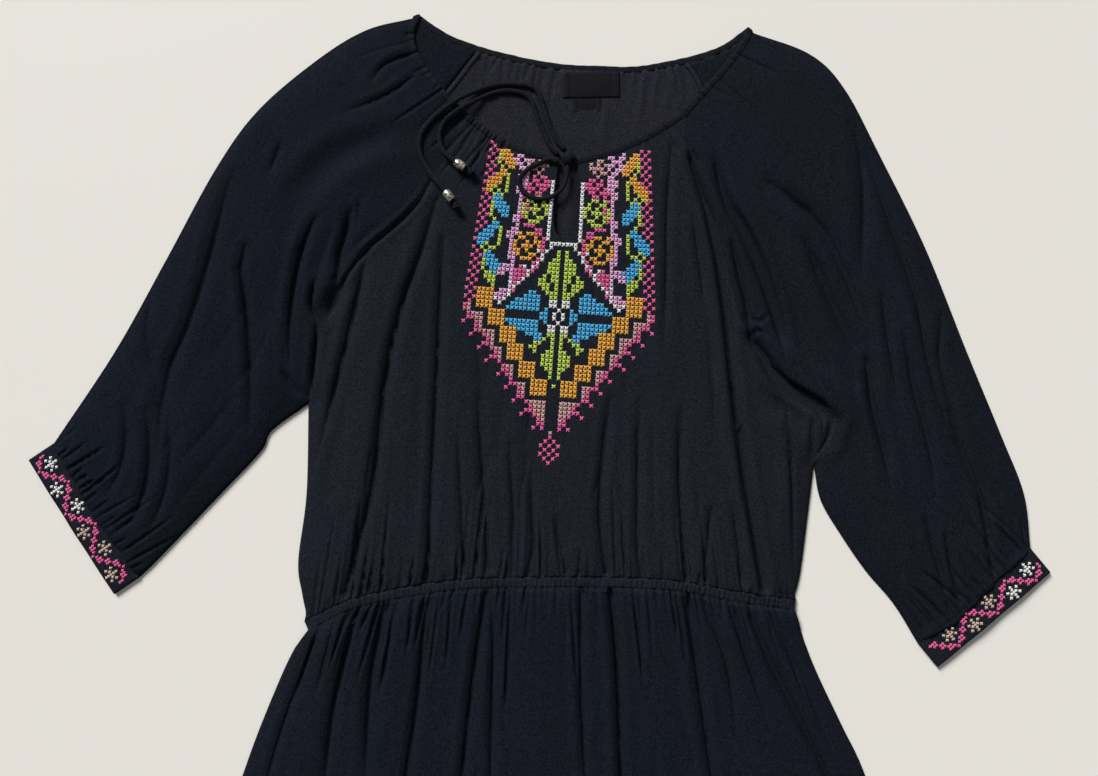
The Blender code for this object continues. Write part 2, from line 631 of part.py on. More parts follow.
def cuff(side):
    """A cuff: a flattened ring of cloth, folded at both ends."""
    left = side == "left"
    start, end = OUTER_FOLDS[side][-1], UNDERARMS[side][-1]
    run = (end - start) / np.linalg.norm(end - start)
    out = np.array([run[1], -run[0]]) if left else np.array([-run[1], run[0]])
    half = CUFF_WALL + GAP / 2
    span = np.linalg.norm(end - start)
    ring = []
    # One round of the ring: (share of the span, outer height, inner height, outer and inner reach)
    for k in range(CUFF_STEPS + 1):
        ring.append((half + (span - 2 * half) * k / CUFF_STEPS, 0.0, CUFF_WALL, 0.0, 0.0))
    ring.append((span - half, half, half, half, GAP / 2))
    for k in range(CUFF_STEPS, -1, -1):
        puff = CUFF_PUFF * math.sin(math.pi * k / CUFF_STEPS)
        place = half + (span - 2 * half) * k / CUFF_STEPS
        ring.append((place, 2 * half + puff, half + GAP / 2 + puff, 0.0, 0.0))
    ring.append((half, half, half, -half, -GAP / 2))
    wall = Wall("cuff_" + side)
    rows = []
    for offset in (GAP, GAP + CUFF_WIDTH / 2, GAP + CUFF_WIDTH):
        row = []
        for place, high, low, reach_out, reach_in in ring:
            base = start + out * offset
            outer = base + run * (place + reach_out)
            inner = base + run * (place + reach_in)
            row.append(wall.add((*outer, high), (*inner, low)))
        rows.append(row)
    count = len(ring)
    for first, second in zip(rows, rows[1:]):
        for k in range(count):
            j = (k + 1) % count
            wall.faces.append((first[k], first[j], second[j]))
            wall.faces.append((first[k], second[j], second[k]))
    return wall.build()


def neck_binding():
    """One strip from the slit up the front, folded at the shoulder, round the back and down again."""
    sections = []

    def lay(line, side, up):
        half = BINDING_THICK / 2
        for point, across in zip(line, normals(line) * side):
            height = front_top(*point) - CLOTH + BINDING_RISE / 2 + half if up > 0 else half
            sections.append((Vector((*point, height)), Vector((*across, 0)), Vector((0, 0, up))))

    def turn_over(point, crease, first_up):
        low = BINDING_THICK / 2
        high = low + BINDING_THICK + TURN_GAP
        middle, radius = (high + low) / 2, (high - low) / 2
        out = np.array([-crease[1], crease[0]])
        if out[1] < 0:
            out = -out
        for angle in (60, 0, -60) if first_up > 0 else (-60, 0, 60):
            c, s = math.cos(math.radians(angle)), math.sin(math.radians(angle))
            place = Vector((*(point + out * c * radius), middle + s * radius))
            sections.append((place, Vector((*crease, 0)), Vector((*(out * c), s))))

    lay(NECK.left[:-1], -1, 1)
    turn_over(NECK.left[-1], NECK.crease_left, 1)
    lay(NECK.back[1:-1], 1, -1)
    turn_over(NECK.right[-1], NECK.crease_right, -1)
    lay(NECK.right[::-1][1:], -1, 1)
    points, faces = [], []
    for place, across, up in sections:
        for side, lift in ((-1, 1), (1, 1), (1, -1), (-1, -1)):
            corner = place + across * (side * BINDING_WIDTH / 2) + up * (lift * BINDING_THICK / 2)
            points.append(tuple(corner))
    for k in range(len(sections) - 1):
        for j in range(4):
            a, b = 4 * k + j, 4 * k + (j + 1) % 4
            faces.append((a, b, b + 4))
            faces.append((a, b + 4, a + 4))
    last = len(points) - 4
    faces += [(0, 1, 2), (0, 2, 3), (last, last + 1, last + 2), (last, last + 2, last + 3)]
    return mesh_object("neck_binding", points, faces, "cloth")


def plate(name, size, place, turn, slot):
    """A thin rectangular label lying flat, on its lower face's middle."""
    wide, tall, thick = (s * MM for s in size)
    mesh = bpy.data.meshes.new(name)
    block = bmesh.new()
    bmesh.ops.create_cube(block, size=1.0)
    bmesh.ops.scale(block, vec=(wide, tall, thick), verts=block.verts)
    block.to_mesh(mesh)
    block.free()
    mesh.materials.append(material(slot))
    made = bpy.data.objects.new(name, mesh)
    made.location = (place[0] * MM, place[1] * MM, place[2] * MM + thick / 2)
    made.rotation_euler = (0, 0, turn)
    bpy.context.scene.collection.objects.link(made)
    return made


def lay_height(x, y):
    """Height of the cloth that a tie lies on."""
    to_binding = min(nearest(x, y, NECK.left)[0], nearest(x, y, NECK.right)[0])
    if inside(x, y, NECK.ring) and to_binding > BINDING_WIDTH / 2:
        return CLOTH + BACK_GATHER
    rise = BINDING_RISE if to_binding < BINDING_WIDTH else 0.0
    return front_top(x, y) + rise


def laid_route(points):
    """A tie's route over the cloth, in three dimensions, eased over what it crosses."""
    length = np.linalg.norm(np.diff(smooth(points, 200), axis=0), axis=1).sum()
    steps = int(round(length / TIE_STEP))
    line = smooth(points, steps * 4)
    raw = []
    for point, across in zip(line, normals(line)):
        raw.append(max(lay_height(*(point + across * side)) for side in (-TIE_REST, 0, TIE_REST)))
    raw = np.array(raw)
    count = len(raw)
    held = np.array([raw[max(0, k - 6):k + 7].max() for k in range(count)])
    eased = np.array([held[max(0, k - 3):k + 4].mean() for k in range(count)])
    route = np.column_stack([line, eased + GAP + TIE_RADIUS])
    return route


def tie(name, route):
    """A tie's round solid along its route."""
    curve = bpy.data.curves.new(name, "CURVE")
    curve.dimensions = "3D"
    curve.bevel_depth = TIE_RADIUS * MM
    curve.bevel_resolution = 2
    curve.use_fill_caps = True
    points = route[::4]
    spline = curve.splines.new("POLY")
    spline.points.add(len(points) - 1)
    for place, point in zip(spline.points, points):
        place.co = (*(point * MM), 1.0)
    curve.materials.append(material("cloth"))
    made = bpy.data.objects.new(name, curve)
    bpy.context.scene.collection.objects.link(made)
    return made


def turned(name, profile, sides, place, direction, slot):
    """A ring turned from a closed profile of (radius, place along the axis)."""
    points, faces = [], []
    for k in range(sides):
        angle = 2 * math.pi * k / sides
        for radius, run in profile:
            points.append((radius * math.cos(angle), radius * math.sin(angle), run))
    rows = len(profile)
    for k in range(sides):
        for j in range(rows):
            a, b = k * rows + j, k * rows + (j + 1) % rows
            c, d = (k + 1) % sides * rows + (j + 1) % rows, (k + 1) % sides * rows + j
            faces += [(a, b, c), (a, c, d)]
    made = mesh_object(name, points, faces, slot)
    made.location = Vector(place) * MM
    made.rotation_mode = "QUATERNION"
    made.rotation_quaternion = Vector(direction).to_track_quat("Z", "Y")
    return made


def blob(name, place, radii, angle):
    """A small knot: a squashed ball turned about the vertical."""
    mesh = bpy.data.meshes.new(name)
    ball = bmesh.new()
    bmesh.ops.create_uvsphere(ball, u_segments=12, v_segments=7, radius=1.0)
    bmesh.ops.scale(ball, vec=[r * MM for r in radii], verts=ball.verts)
    ball.to_mesh(mesh)
    ball.free()
    mesh.shade_smooth()
    mesh.materials.append(material("cloth"))
    made = bpy.data.objects.new(name, mesh)
    made.location = Vector(place) * MM
    made.rotation_euler = (0, 0, angle)
    bpy.context.scene.collection.objects.link(made)
    return made


def tie_tail(side, points, bead_at):
    """A tail of the tie with its bead and the knot that holds the bead on."""
    route = laid_route(points)
    near = np.linalg.norm(route[:, :2] - np.array(bead_at), axis=1).argmin()
    # The tail runs straight and level through its bead and up to its end knot
    bead_height = route[near:, 2].max() + BEAD_PROFILE[2][0] - TIE_RADIUS
    ease = np.clip((np.arange(len(route)) - (near - 9)) / 6, 0, 1)
    route[:, 2] += (bead_height - route[:, 2]) * ease
    tie("tie_tail_" + side, route)
    direction = route[near + 2] - route[near - 2]
    direction /= np.linalg.norm(direction)
    turned("bead_" + side, BEAD_PROFILE, 14, route[near], direction, "bead_metal")
    end = route[-1] + direction * (END_KNOT_RADII[0] + GAP)
    blob("end_knot_" + side, end, END_KNOT_RADII, math.atan2(direction[1], direction[0]))


def main():
    for old in list(bpy.data.objects):
        bpy.data.objects.remove(old, do_unlink=True)
    front_bodice()
    front_skirt()
    back_bodice()
    back_skirt()
    for side in ("left", "right"):
        sleeve(side)
        cuff(side)
    waist_casing("waist_casing_front", WAIST_LINE, lambda x, y: front_top(x, y) - CLOTH,
                 lambda x, y: front_top(x, y) - CLOTH + CASING_THICK, CASING_CRIMP)
    waist_casing("waist_casing_back", BACK_WAIST_LINE, lambda x, y: 0.0, lambda x, y: BACK_CASING_TOP, 0.0)
    neck_binding()
    plate("size_tab", TAB_SIZE, TAB_PLACE, LABEL_TURN, "label_satin")
    plate("neck_label", LABEL_SIZE, LABEL_PLACE, LABEL_TURN, "label_satin")
    knot_height = lay_height(*KNOT_PLACE) + 2 * GAP + KNOT_RADII[2]
    blob("tie_knot", (*KNOT_PLACE, knot_height), KNOT_RADII, 0.0)
    tie("tie_loop", laid_route(LOOP))
    tie_tail("left", TAIL_LEFT, BEAD_LEFT_AT)
    tie_tail("right", TAIL_RIGHT, BEAD_RIGHT_AT)


main()
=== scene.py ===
"""Looks of the peasant tunic: gathered cloth, cross-stitch, rolled ties, beads, casing and labels.

Tables are in millimetres, as in the part's source, and the scene is in metres. Left and right are as
seen from above. Every height of the front layer comes from front_height, so what lies on it fits it.
"""
import math

import bmesh
import bpy
import numpy as np
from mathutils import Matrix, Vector


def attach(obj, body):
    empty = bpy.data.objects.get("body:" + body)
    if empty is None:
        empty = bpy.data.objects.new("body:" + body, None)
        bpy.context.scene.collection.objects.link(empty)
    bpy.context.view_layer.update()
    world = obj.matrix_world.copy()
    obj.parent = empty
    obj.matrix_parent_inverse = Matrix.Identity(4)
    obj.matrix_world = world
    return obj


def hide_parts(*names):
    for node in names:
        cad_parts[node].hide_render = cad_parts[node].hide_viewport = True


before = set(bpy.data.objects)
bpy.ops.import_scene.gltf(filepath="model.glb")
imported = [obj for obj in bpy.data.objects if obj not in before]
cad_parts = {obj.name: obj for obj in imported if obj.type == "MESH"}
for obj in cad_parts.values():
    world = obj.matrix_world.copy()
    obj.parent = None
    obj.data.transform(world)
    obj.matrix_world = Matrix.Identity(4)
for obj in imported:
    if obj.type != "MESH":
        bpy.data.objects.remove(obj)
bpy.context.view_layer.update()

MM = 0.001

# Cloth: its thickness, the level of the back's inside, bare and under the front, and the radius that a
# sleeve turns round at its outer fold
SHELL = 0.8
INSIDE_LEVEL = 2.0
COVERED_LEVEL = 1.2
FOLD_RADIUS = 1.35

# The front layer: its height at an edge and just inside it, and how far it rises from there
LOW_EDGE = 0.95
FRONT_EDGE = 2.7
EDGE_ROLL = 2.6
PUFF, PUFF_RUN = 5.0, 16.0
FOLD_EDGE_RUN = 9.0

# Where the front layer lies lower, each with how far that reaches
NECK_DIP, NECK_DIP_RUN = 2.4, 22.0
WAIST_DIP, WAIST_DIP_RUN = 1.2, 10.0
CUFF_DIP, CUFF_DIP_RUN = 1.0, 9.0

# The elastic presses the folds beside the casing by this share
ELASTIC_PRESS, ELASTIC_RUN = 0.55, 6.5

# Ridges level off above one rise and creases round off below another, each with how softly
RIDGE_LIMIT, RIDGE_SOFT = 6.0, 3.0
CREASE_LIMIT, CREASE_SOFT = 0.2, 0.6
BACK_FOLD_RANGE = (-1.0, 1.4)

# Neck binding
BINDING_WIDTH = 6.5
BINDING_THICK = 2.0
UNDER_BINDING = 1.6
PEAK_GAP = 1.2
PEAK_LEFT = (-112, 399)
PEAK_RIGHT = (197, 386)
BINDING_FRONT_LEFT = [PEAK_LEFT, (-117, 385), (-115, 368), (-103, 345), (-85, 322), (-67, 304)]
BINDING_CENTRE_LEFT = [(-67, 304), (-43, 285), (-16, 271), (19.6, 260)]
BINDING_CENTRE_RIGHT = [(36.4, 260), (69, 269), (100, 283), (134, 304)]
BINDING_FRONT_RIGHT = [(134, 304), (160, 333), (178, 354), (191, 372), PEAK_RIGHT]
BINDING_BACK_LEFT = [PEAK_LEFT, (-96, 387), (-79, 377), (-55, 368)]
BINDING_BACK = [(-55, 368), (-18, 358), (21, 351), (58, 349), (95, 349), (139, 357)]
BINDING_BACK_RIGHT = [(139, 357), (171, 368), PEAK_RIGHT]

# Raglan seams, from the neck down to the slit's end and from there to the underarm
RAGLAN_LEFT = ([(-85, 262), (-98, 239), (-121, 209), (-146, 187)], [(-176, 157), (-194, 109), (-205, 38)])
RAGLAN_RIGHT = ([(137, 265), (145, 242), (157, 215), (166, 186)],
                [(183, 114), (203, 82), (235, 49), (264, 31), (266, 14), (247, -17)])
BACK_RAGLAN_LEFT = ([(-73, 343), (-110, 290), (-150, 200)], [(-180, 120), (-205, 38)])
BACK_RAGLAN_RIGHT = ([(152, 335), (185, 250), (205, 180)], [(228, 90), (247, -17)])

# Edges as seen from above, each from the neck downwards
FOLD_LEFT = [(-160, 386), (-205, 357), (-258, 309), (-295, 254), (-337, 170), (-380, 86), (-431.3, 3)]
FOLD_RIGHT = [(253, 363), (284, 330), (315, 266), (353, 181), (387, 86), (415, 10), (433, -42), (436.7, -90)]
UNDERARM_LEFT = [(-237, 14), (-246, -4), (-279, -40), (-334, -99), (-350, -115)]
UNDERARM_RIGHT = [(252, -47), (268, -76), (290, -109), (314, -138), (334, -172)]
SIDE_LEFT = [(-205, 38), (-205, -42), (-211, -101), (-207, -129), (-202, -150)]
SIDE_RIGHT = [(247, -17), (241, -58), (233, -110), (227, -132)]
WAIST = [(-202, -157), (-164, -139), (-122, -129), (-63, -121), (13, -119), (111, -121), (172, -131),
         (227, -139)]
SKIRT_SIDE_LEFT = [(-209, -170), (-222, -197), (-243, -250), (-262, -306), (-290, -388)]
SKIRT_SIDE_RIGHT = [(231, -160), (244, -195), (266, -243), (285, -285), (318, -388)]
HEM = [(-290, -388), (-150, -398), (10, -401.6), (160, -399), (318, -388)]
SLIT_BOTTOM = (25, 186)
SLIT_LEFT = [SLIT_BOTTOM, (16, 196), (15.5, 222), (19, 255.5)]
SLIT_RIGHT = [SLIT_BOTTOM, (34, 197), (39, 222), (37, 255.5)]

# Waist casing, cuffs, labels and hem
CASING_WIDTH = 9.0
CUFF_WIDTH = 26.0
CUFF_WALL = 1.5
CUFF_HOLLOW = 0.3
CUFF_HALF = CUFF_WALL + CUFF_HOLLOW / 2
CUFF_PUFF = 1.5
LABEL_SIZE = (53.0, 25.0, 0.6)
LABEL_PLACE = (50.0, 333.5, 2.2)
TAB_SIZE = (28.0, 16.0, 0.4)
TAB_PLACE = (46.0, 315.5, 1.5)
LABEL_TURN = math.radians(1.0)
HEM_DEPTH = 18.0
HEM_THICK = 0.7
INSET = 1.3

# Ties, knots and beads
TIE_HALF_WIDTH = 2.2
TIE_HALF_HEIGHT = 1.5
TIE_STEP = 1.6
GAP = 0.3
KNOT_PLACE = (28.0, 263.0)
BEAD_RADIUS = 4.2
TAIL_LEFT = [(19.6, 266.4), (12, 275), (5, 290), (-1, 305), (-6, 319), (-14, 325), (-30, 327), (-46, 323),
             (-60, 315), (-74, 306), (-84, 297), (-89, 285), (-87, 271), (-79, 261), (-70, 254.5),
             (-63, 250)]
TAIL_RIGHT = [(26, 270.8), (18, 280), (11, 295), (6, 311), (1, 325), (-8, 332), (-30, 333.5), (-48, 330),
              (-65, 322), (-84, 309), (-99, 295), (-107, 281), (-106, 265), (-98, 249), (-88, 236),
              (-80, 226), (-75, 219)]
LOOP = [(20, 258.2), (11, 261), (2, 257), (-9, 251), (-16, 241), (-12, 230), (0, 224), (13, 226),
        (23, 234), (26.5, 244), (27.5, 255.2)]
BEAD_LEFT_AT = (-70, 254.5)
BEAD_RIGHT_AT = (-80, 226)

# How finely the cloth is divided
SLIT_ROWS = 40
RAGLAN_ROWS = 60
SIDE_ROWS = 60
HALF_COLUMNS = 240
SLEEVE_ROWS = 280
SLEEVE_NECK_ROWS = 166
SLEEVE_FRONT_COLUMNS = 220
SLEEVE_BACK_COLUMNS = 16
SKIRT_COLUMNS = 760
SKIRT_ROWS = 76
CASING_COLUMNS = 700
CASING_ROWS = 12
CUFF_COLUMNS = 64
CUFF_ROWS = 20
BINDING_FRONT_STEPS, BINDING_BACK_STEPS, BINDING_SIDES = 330, 260, 18
# The inner layer of a front takes every second row and every fourth column
COARSE_STEP = (2, 4)
ROLL_ANGLES = (-90, -62, -34, -6, 22, 50, 76)

# Folds of the front as seen from above: points along it, half width, height (below 0 for a crease), which
# flank of a crease stands higher (1 the left one as one looks along it, -1 the right one, 0 neither), and
# in some rows the fold's strength at its two ends
FOLDS = [
    ([(-112, 288), (-150, 277), (-186, 262), (-216, 229), (-232, 196)], 17, -6.5, 0),
    ([(-108, 300), (-170, 240), (-196, 190)], 14, 2.2, 0),
    ([(-235, 275), (-244, 247)], 6, -1.4, -1),
    ([(-280, 242), (-300, 154), (-316, 100), (-332, 55), (-338, -34)], 10, -2.4, -1),
    ([(-349, 141), (-351, 104), (-343, 68), (-337, 41)], 7, -1.5, -1),
    ([(-264, 180), (-268, 158), (-263, 132), (-257, 77), (-255, 14)], 7, -3.2, -1),
    ([(-202, 205), (-213, 177), (-219, 145), (-222, 113), (-221, 75)], 7, -3.2, -1),
    ([(-183, 203), (-192, 173), (-198, 150)], 12, -1.8, 0),
    ([(-161, 224), (-162, 194)], 4, -1.2, 0),
    ([(-348, 32), (-344, 0), (-346, -36), (-357, -64), (-371, -73)], 7, -2.2, -1),
    ([(-328, 20), (-325, -12), (-330, -46), (-343, -78)], 7, -1.8, -1),
    ([(-368, 36), (-365, 6), (-370, -24), (-382, -46)], 6, -1.6, -1),
    ([(-236, 120), (-240, 70), (-236, 30)], 12, 2.0, 0),
    ([(-300, 60), (-310, 0), (-316, -60)], 14, 2.2, 0),
    ([(-240, 330), (-290, 250), (-330, 160)], 12, 1.6, 0),
    ([(-116, 363), (-140, 352), (-154, 333)], 5, -1.6, -1),
    ([(-114, 340), (-140, 321), (-176, 306)], 5, -1.6, -1),
    ([(-97, 240), (-109, 219), (-129, 199), (-158, 173), (-178, 141), (-189, 113)], 4, -2.2, -1),
    ([(-170, 212), (-174, 191), (-179, 173), (-180, 154), (-182, 139)], 8, -3.8, -1),
    ([(-178, 144), (-183, 131), (-188, 118)], 11, -7.5, -1),
    ([(-201, 148), (-203, 127), (-195, 108)], 5, -3.2, -1),
    ([(-198, 107), (-199, 80), (-203, 41)], 5, -2.8, -1),
    ([(-226, 66), (-216, 50), (-205, 44)], 6, -2.2, -1),
    ([(-154, 174), (-160, 141), (-166, 112), (-175, 73), (-191, 6), (-199, -21)], 7, -2.8, -1),
    ([(-91, 224), (-100, 189), (-123, 122), (-136, 53), (-143, -27), (-156, -82), (-168, -130)], 8, -3.6, -1),
    ([(-136, 160), (-150, 90), (-158, 0), (-176, -100)], 12, 2.4, 0),
    ([(-182, 90), (-190, 10), (-199, -70)], 8, 1.8, 0),
    ([(-85, 187), (-88, 89), (-90, 41), (-96, -122)], 7, -2.8, -1),
    ([(-112, 150), (-116, 60), (-122, -60)], 11, 1.8, 0),
    ([(-64, 150), (-68, 60), (-66, -60)], 12, 1.6, 0),
    ([(-52, 41), (-45, -58), (-41, -107)], 7, -2.3, -1),
    ([(-70, 10), (-66, -50), (-64, -112)], 6, -1.7, -1),
    ([(-24, 0), (-20, -60), (-22, -112)], 6, -1.9, -1),
    ([(-5, -26), (-3, -83), (-7, -114)], 6, -2.0, -1),
    ([(18, -63), (26, -110)], 5, -1.9, -1),
    ([(40, 20), (36, -50), (38, -105)], 12, 1.4, 0),
    ([(65, 41), (56, -48), (61, -113)], 7, -2.6, -1),
    ([(91, 41), (89, -83), (92, -115)], 6, -2.1, -1),
    ([(112, 120), (110, 30), (112, -70)], 11, 1.5, 0),
    ([(128, 30), (127, -37), (132, -115)], 7, -2.6, -1),
    ([(154, 101), (158, 46), (158, 0)], 9, -1.4, 0),
    ([(154, -55), (148, -118)], 6, -1.9, -1),
    ([(174, -52), (181, -118)], 6, -1.8, -1),
    ([(123, 273), (118, 205), (117, 143), (113, 83)], 6, -1.8, -1),
    ([(142, 205), (149, 150), (151, 125)], 6, -1.8, -1),
    ([(140, 262), (150, 226), (161, 199), (165, 162), (171, 113), (178, 30), (188, -47), (200, -124)], 7,
     -7.5, -1),
    ([(162, 264), (171, 226), (187, 193), (201, 159), (212, 125), (223, 74)], 8, -8.5, -1, (0.05, 0.1)),
    ([(178, 220), (191, 195), (205, 160), (216, 124), (224, 84)], 7, -6.0, 1, (0.05, 0.1)),
    ([(180, 225), (206, 182), (222, 150), (234, 110)], 9, 2.2, 0),
    ([(176, 183), (183, 153), (189, 125), (191, 100), (200, 86)], 5, -3.2, -1),
    ([(192, 116), (199, 111), (208, 118)], 3, -2.6, -1),
    ([(192, 98), (199, 104), (206, 97)], 3, -2.6, -1),
    ([(191, 96), (202, 83), (215, 62), (232, 50), (250, 39), (263, 29), (263, 12), (250, -8)], 9, -9.0, 1),
    ([(205, 74), (216, 56), (234, 43), (252, 31), (256, 12)], 8, -6.0, 1),
    ([(205, 106), (222, 84), (242, 68), (264, 54), (278, 38), (276, 14)], 8, 4.6, 0),
    ([(210, 46), (230, 32), (246, 12)], 16, -7.5, 0),
    ([(223, 30), (226, -21), (227, -103)], 4, -2.0, -1),
    ([(246, 24), (245, -18)], 5, -2.6, -1),
    ([(214, 20), (220, -30), (214, -100)], 8, 1.8, 0),
    ([(292, 292), (298, 233), (293, 150)], 11, -2.4, -1),
    ([(302, 265), (326, 188), (343, 131), (350, 77), (362, 27), (379, -16)], 9, -3.0, -1),
    ([(243, 186), (261, 143), (282, 95), (298, 68)], 13, -7.5, -1),
    ([(296, 76), (300, 35), (308, -1), (313, -38)], 8, -5.0, -1),
    ([(213, 238), (252, 206), (274, 168), (287, 130), (300, 94)], 12, -5.5, -1),
    ([(311, 135), (317, 83), (323, 38)], 7, -2.6, -1),
    ([(205, 270), (238, 190), (262, 100)], 15, 2.2, 0),
    ([(330, 130), (344, 40), (362, -60)], 15, 2.4, 0),
    ([(365, 118), (361, 77), (371, 32), (385, -24)], 7, -2.0, -1),
    ([(367, 30), (380, -10), (395, -51), (406, -118)], 7, -3.0, -1),
    ([(330, 95), (338, 46), (349, -3), (352, -43)], 10, -3.4, -1),
    ([(360, -80), (368, -127), (374, -150)], 5, -2.8, -1),
    ([(392, -47), (399, -91), (402, -129)], 5, -2.6, -1),
    ([(343, -65), (352, -100), (360, -134)], 6, -2.4, -1),
    ([(429, -64), (432, -94)], 4, -1.8, -1),
    ([(300, 0), (322, -60), (338, -130)], 13, 2.4, 0),
    ([(-132, -141), (-144, -203), (-147, -300)], 8, -3.0, -1),
    ([(-118, -150), (-124, -220), (-132, -320)], 10, 1.8, 0),
    ([(-97, -140), (-104, -227), (-122, -350)], 7, -2.7, -1),
    ([(-44, -128), (-55, -203), (-70, -350)], 7, -2.8, -1),
    ([(-37, -150), (-39, -285), (-36, -340)], 6, -2.2, -1),
    ([(0, -132), (0, -240), (-4, -370)], 20, 2.2, 0),
    ([(39, -126), (39, -203), (44, -320)], 6, -2.4, -1),
    ([(65, -129), (71, -200), (75, -350)], 7, -3.8, -1),
    ([(98, -135), (106, -230), (112, -350)], 16, 1.8, 0),
    ([(132, -135), (142, -210), (160, -350)], 8, -3.0, -1),
    ([(146, -137), (165, -187), (174, -250)], 6, -2.2, -1),
    ([(174, -146), (182, -179), (200, -240)], 7, -2.6, -1),
    ([(187, -149), (213, -206), (250, -282), (276, -350)], 7, -3.8, -1),
    ([(206, -150), (231, -202), (256, -262)], 6, -2.2, -1),
    ([(170, -170), (192, -240), (222, -350)], 14, 2.3, 0),
    ([(-180, -165), (-196, -250), (-214, -350)], 15, 2.0, 0),
    ([(-160, -150), (-176, -230), (-184, -320)], 8, -2.4, -1),
    ([(-196, -172), (-222, -250), (-240, -320)], 6, -1.9, -1),
]

# Folds of the inside of the back, which show through the neck and the slit
BACK_FOLDS = [
    ([(21, 256), (20, 225), (22, 195)], 2.2, 1.0, 0),
    ([(29, 258), (30, 230), (27, 192)], 2.6, 1.3, 0),
    ([(35, 256), (36, 230), (33, 205)], 1.8, 0.8, 0),
    ([(-8, 350), (-4, 322), (2, 292)], 3.0, 1.2, 0),
    ([(98, 346), (96, 320), (92, 290)], 2.6, 1.3, 0),
    ([(112, 348), (108, 326), (106, 304)], 2.0, 1.0, 0),
    ([(128, 350), (122, 324), (112, 300)], 3.0, 1.0, 0),
    ([(-36, 356), (-34, 330), (-28, 300)], 3.0, 0.9, 0),
    ([(64, 316), (62, 296), (60, 272)], 3.0, 0.9, 0),
]

# A crease is a slot in a softer valley: the slot's half width as a share of the valley's, and how deep
# each is for a height of 1. The slot fades out between the last two widths.
SLOT_SHARE, SLOT_LEAST = 0.28, 1.2
SLOT_GAIN = 1.1
VALLEY_GAIN = 0.5
FLANK_HIGH, FLANK_LOW = 0.5, 0.25
SLOT_FADES = (11.0, 15.0)

# A fold's strength at its start and at its end, and where it ends at the waist
OPEN_ENDS, WAIST_END = (0.35, 0.12), 0.92
WAIST_REACH = 26.0

# Gathers at the waist, and how far the cloth runs above and below it
WAIST_CREASES = 92
BODICE_LENGTH = 350.0
SKIRT_LENGTH = 265.0

# Random draws: one stream for each use, so that a change to one leaves the others as they were
SEED = {"waist": 3, "casing": 5, "neck": 7, "cuff": 11, "back": 13, "wrinkles": 17, "stitch": 19}


# Curves and grids

def eased(share):
    """A share from 0 to 1 that starts and stops gently."""
    share = np.clip(share, 0, 1)
    return share * share * (3 - 2 * share)


def numbered(*shape):
    """The numbers of the points of a grid."""
    return np.arange(math.prod(shape)).reshape(shape)


def lifted(places, height):
    """Points in space from places seen from above and their height."""
    return np.concatenate([places, np.broadcast_to(height, places.shape[:-1])[..., None]], axis=-1)


def turned(angle):
    """The matrix of a turn about the upright axis."""
    c, s = math.cos(angle), math.sin(angle)
    return np.array([[c, -s, 0], [s, c, 0], [0, 0, 1]])


def spaced(count, dense=0.0):
    """Shares from 0 to 1, closer together near both ends as dense grows to 1."""
    t = np.linspace(0, 1, count + 1)
    return t + dense * (0.5 * (1 - np.cos(math.pi * t)) - t)


def smooth(points, steps):
    """A curve through the points (Catmull-Rom), read at steps + 1 places evenly along it."""
    p = np.array(points, dtype=float)
    p = np.vstack([2 * p[0] - p[1], p, 2 * p[-1] - p[-2]])
    t = np.linspace(0, 1, 16, endpoint=False)[:, None]
    parts = []
    for a, b, c, d in zip(p, p[1:], p[2:], p[3:]):
        parts.append(b + 0.5 * t * (c - a + t * (2 * a - 5 * b + 4 * c - d + t * (3 * (b - c) + d - a))))
    dense = np.vstack(parts + [p[-2:-1]])
    run = np.concatenate([[0], np.cumsum(np.linalg.norm(np.diff(dense, axis=0), axis=1))])
    at = np.linspace(0, run[-1], steps + 1)
    return np.stack([np.interp(at, run, dense[:, k]) for k in range(dense.shape[1])], axis=1)


def along(line, share):
    """The points at shares, 0 to 1, of a polyline's steps."""
    steps = np.arange(len(line)) / (len(line) - 1)
    return np.stack([np.interp(share, steps, line[:, k]) for k in range(line.shape[1])], axis=-1)


def length_of(line):
    """Length of a polyline."""
    return np.linalg.norm(np.diff(line, axis=0), axis=1).sum()


def normals(line):
    """Unit vectors to the left of a polyline, one for each point."""
    run = np.gradient(line, axis=0)
    run /= np.linalg.norm(run, axis=1)[:, None]
    return np.stack([-run[:, 1], run[:, 0]], axis=1)


def shifted(line, distance):
    """The polyline moved to its left."""
    return line + normals(line) * distance


def nearest(x, y, line):
    """Distance to a polyline, the share of it at the nearest place, and 1 on its left or -1 on its right."""
    best, share, side = np.full(x.shape, np.inf), np.zeros(x.shape), np.ones(x.shape)
    count = len(line) - 1
    for k in range(count):
        run_x, run_y = line[k + 1] - line[k]
        from_x, from_y = x - line[k][0], y - line[k][1]
        t = np.clip((from_x * run_x + from_y * run_y) / (run_x ** 2 + run_y ** 2), 0, 1)
        square = (from_x - t * run_x) ** 2 + (from_y - t * run_y) ** 2
        closer = square < best
        best = np.where(closer, square, best)
        share = np.where(closer, (k + t) / count, share)
        side = np.where(closer, np.sign(run_x * from_y - run_y * from_x), side)
    return np.sqrt(best), share, side


def distance_to(x, y, lines):
    """Distance to the nearest of several polylines."""
    return np.min([nearest(x, y, line)[0] for line in lines], axis=0)


def inside(x, y, ring):
    """Whether points lie inside a closed polyline."""
    crossings = np.zeros(x.shape, dtype=int)
    for (ax, ay), (bx, by) in zip(ring, np.roll(ring, -1, axis=0)):
        if ay != by:
            crossings += ((ay > y) != (by > y)) & (x < ax + (y - ay) * (bx - ax) / (by - ay))
    return crossings % 2 == 1


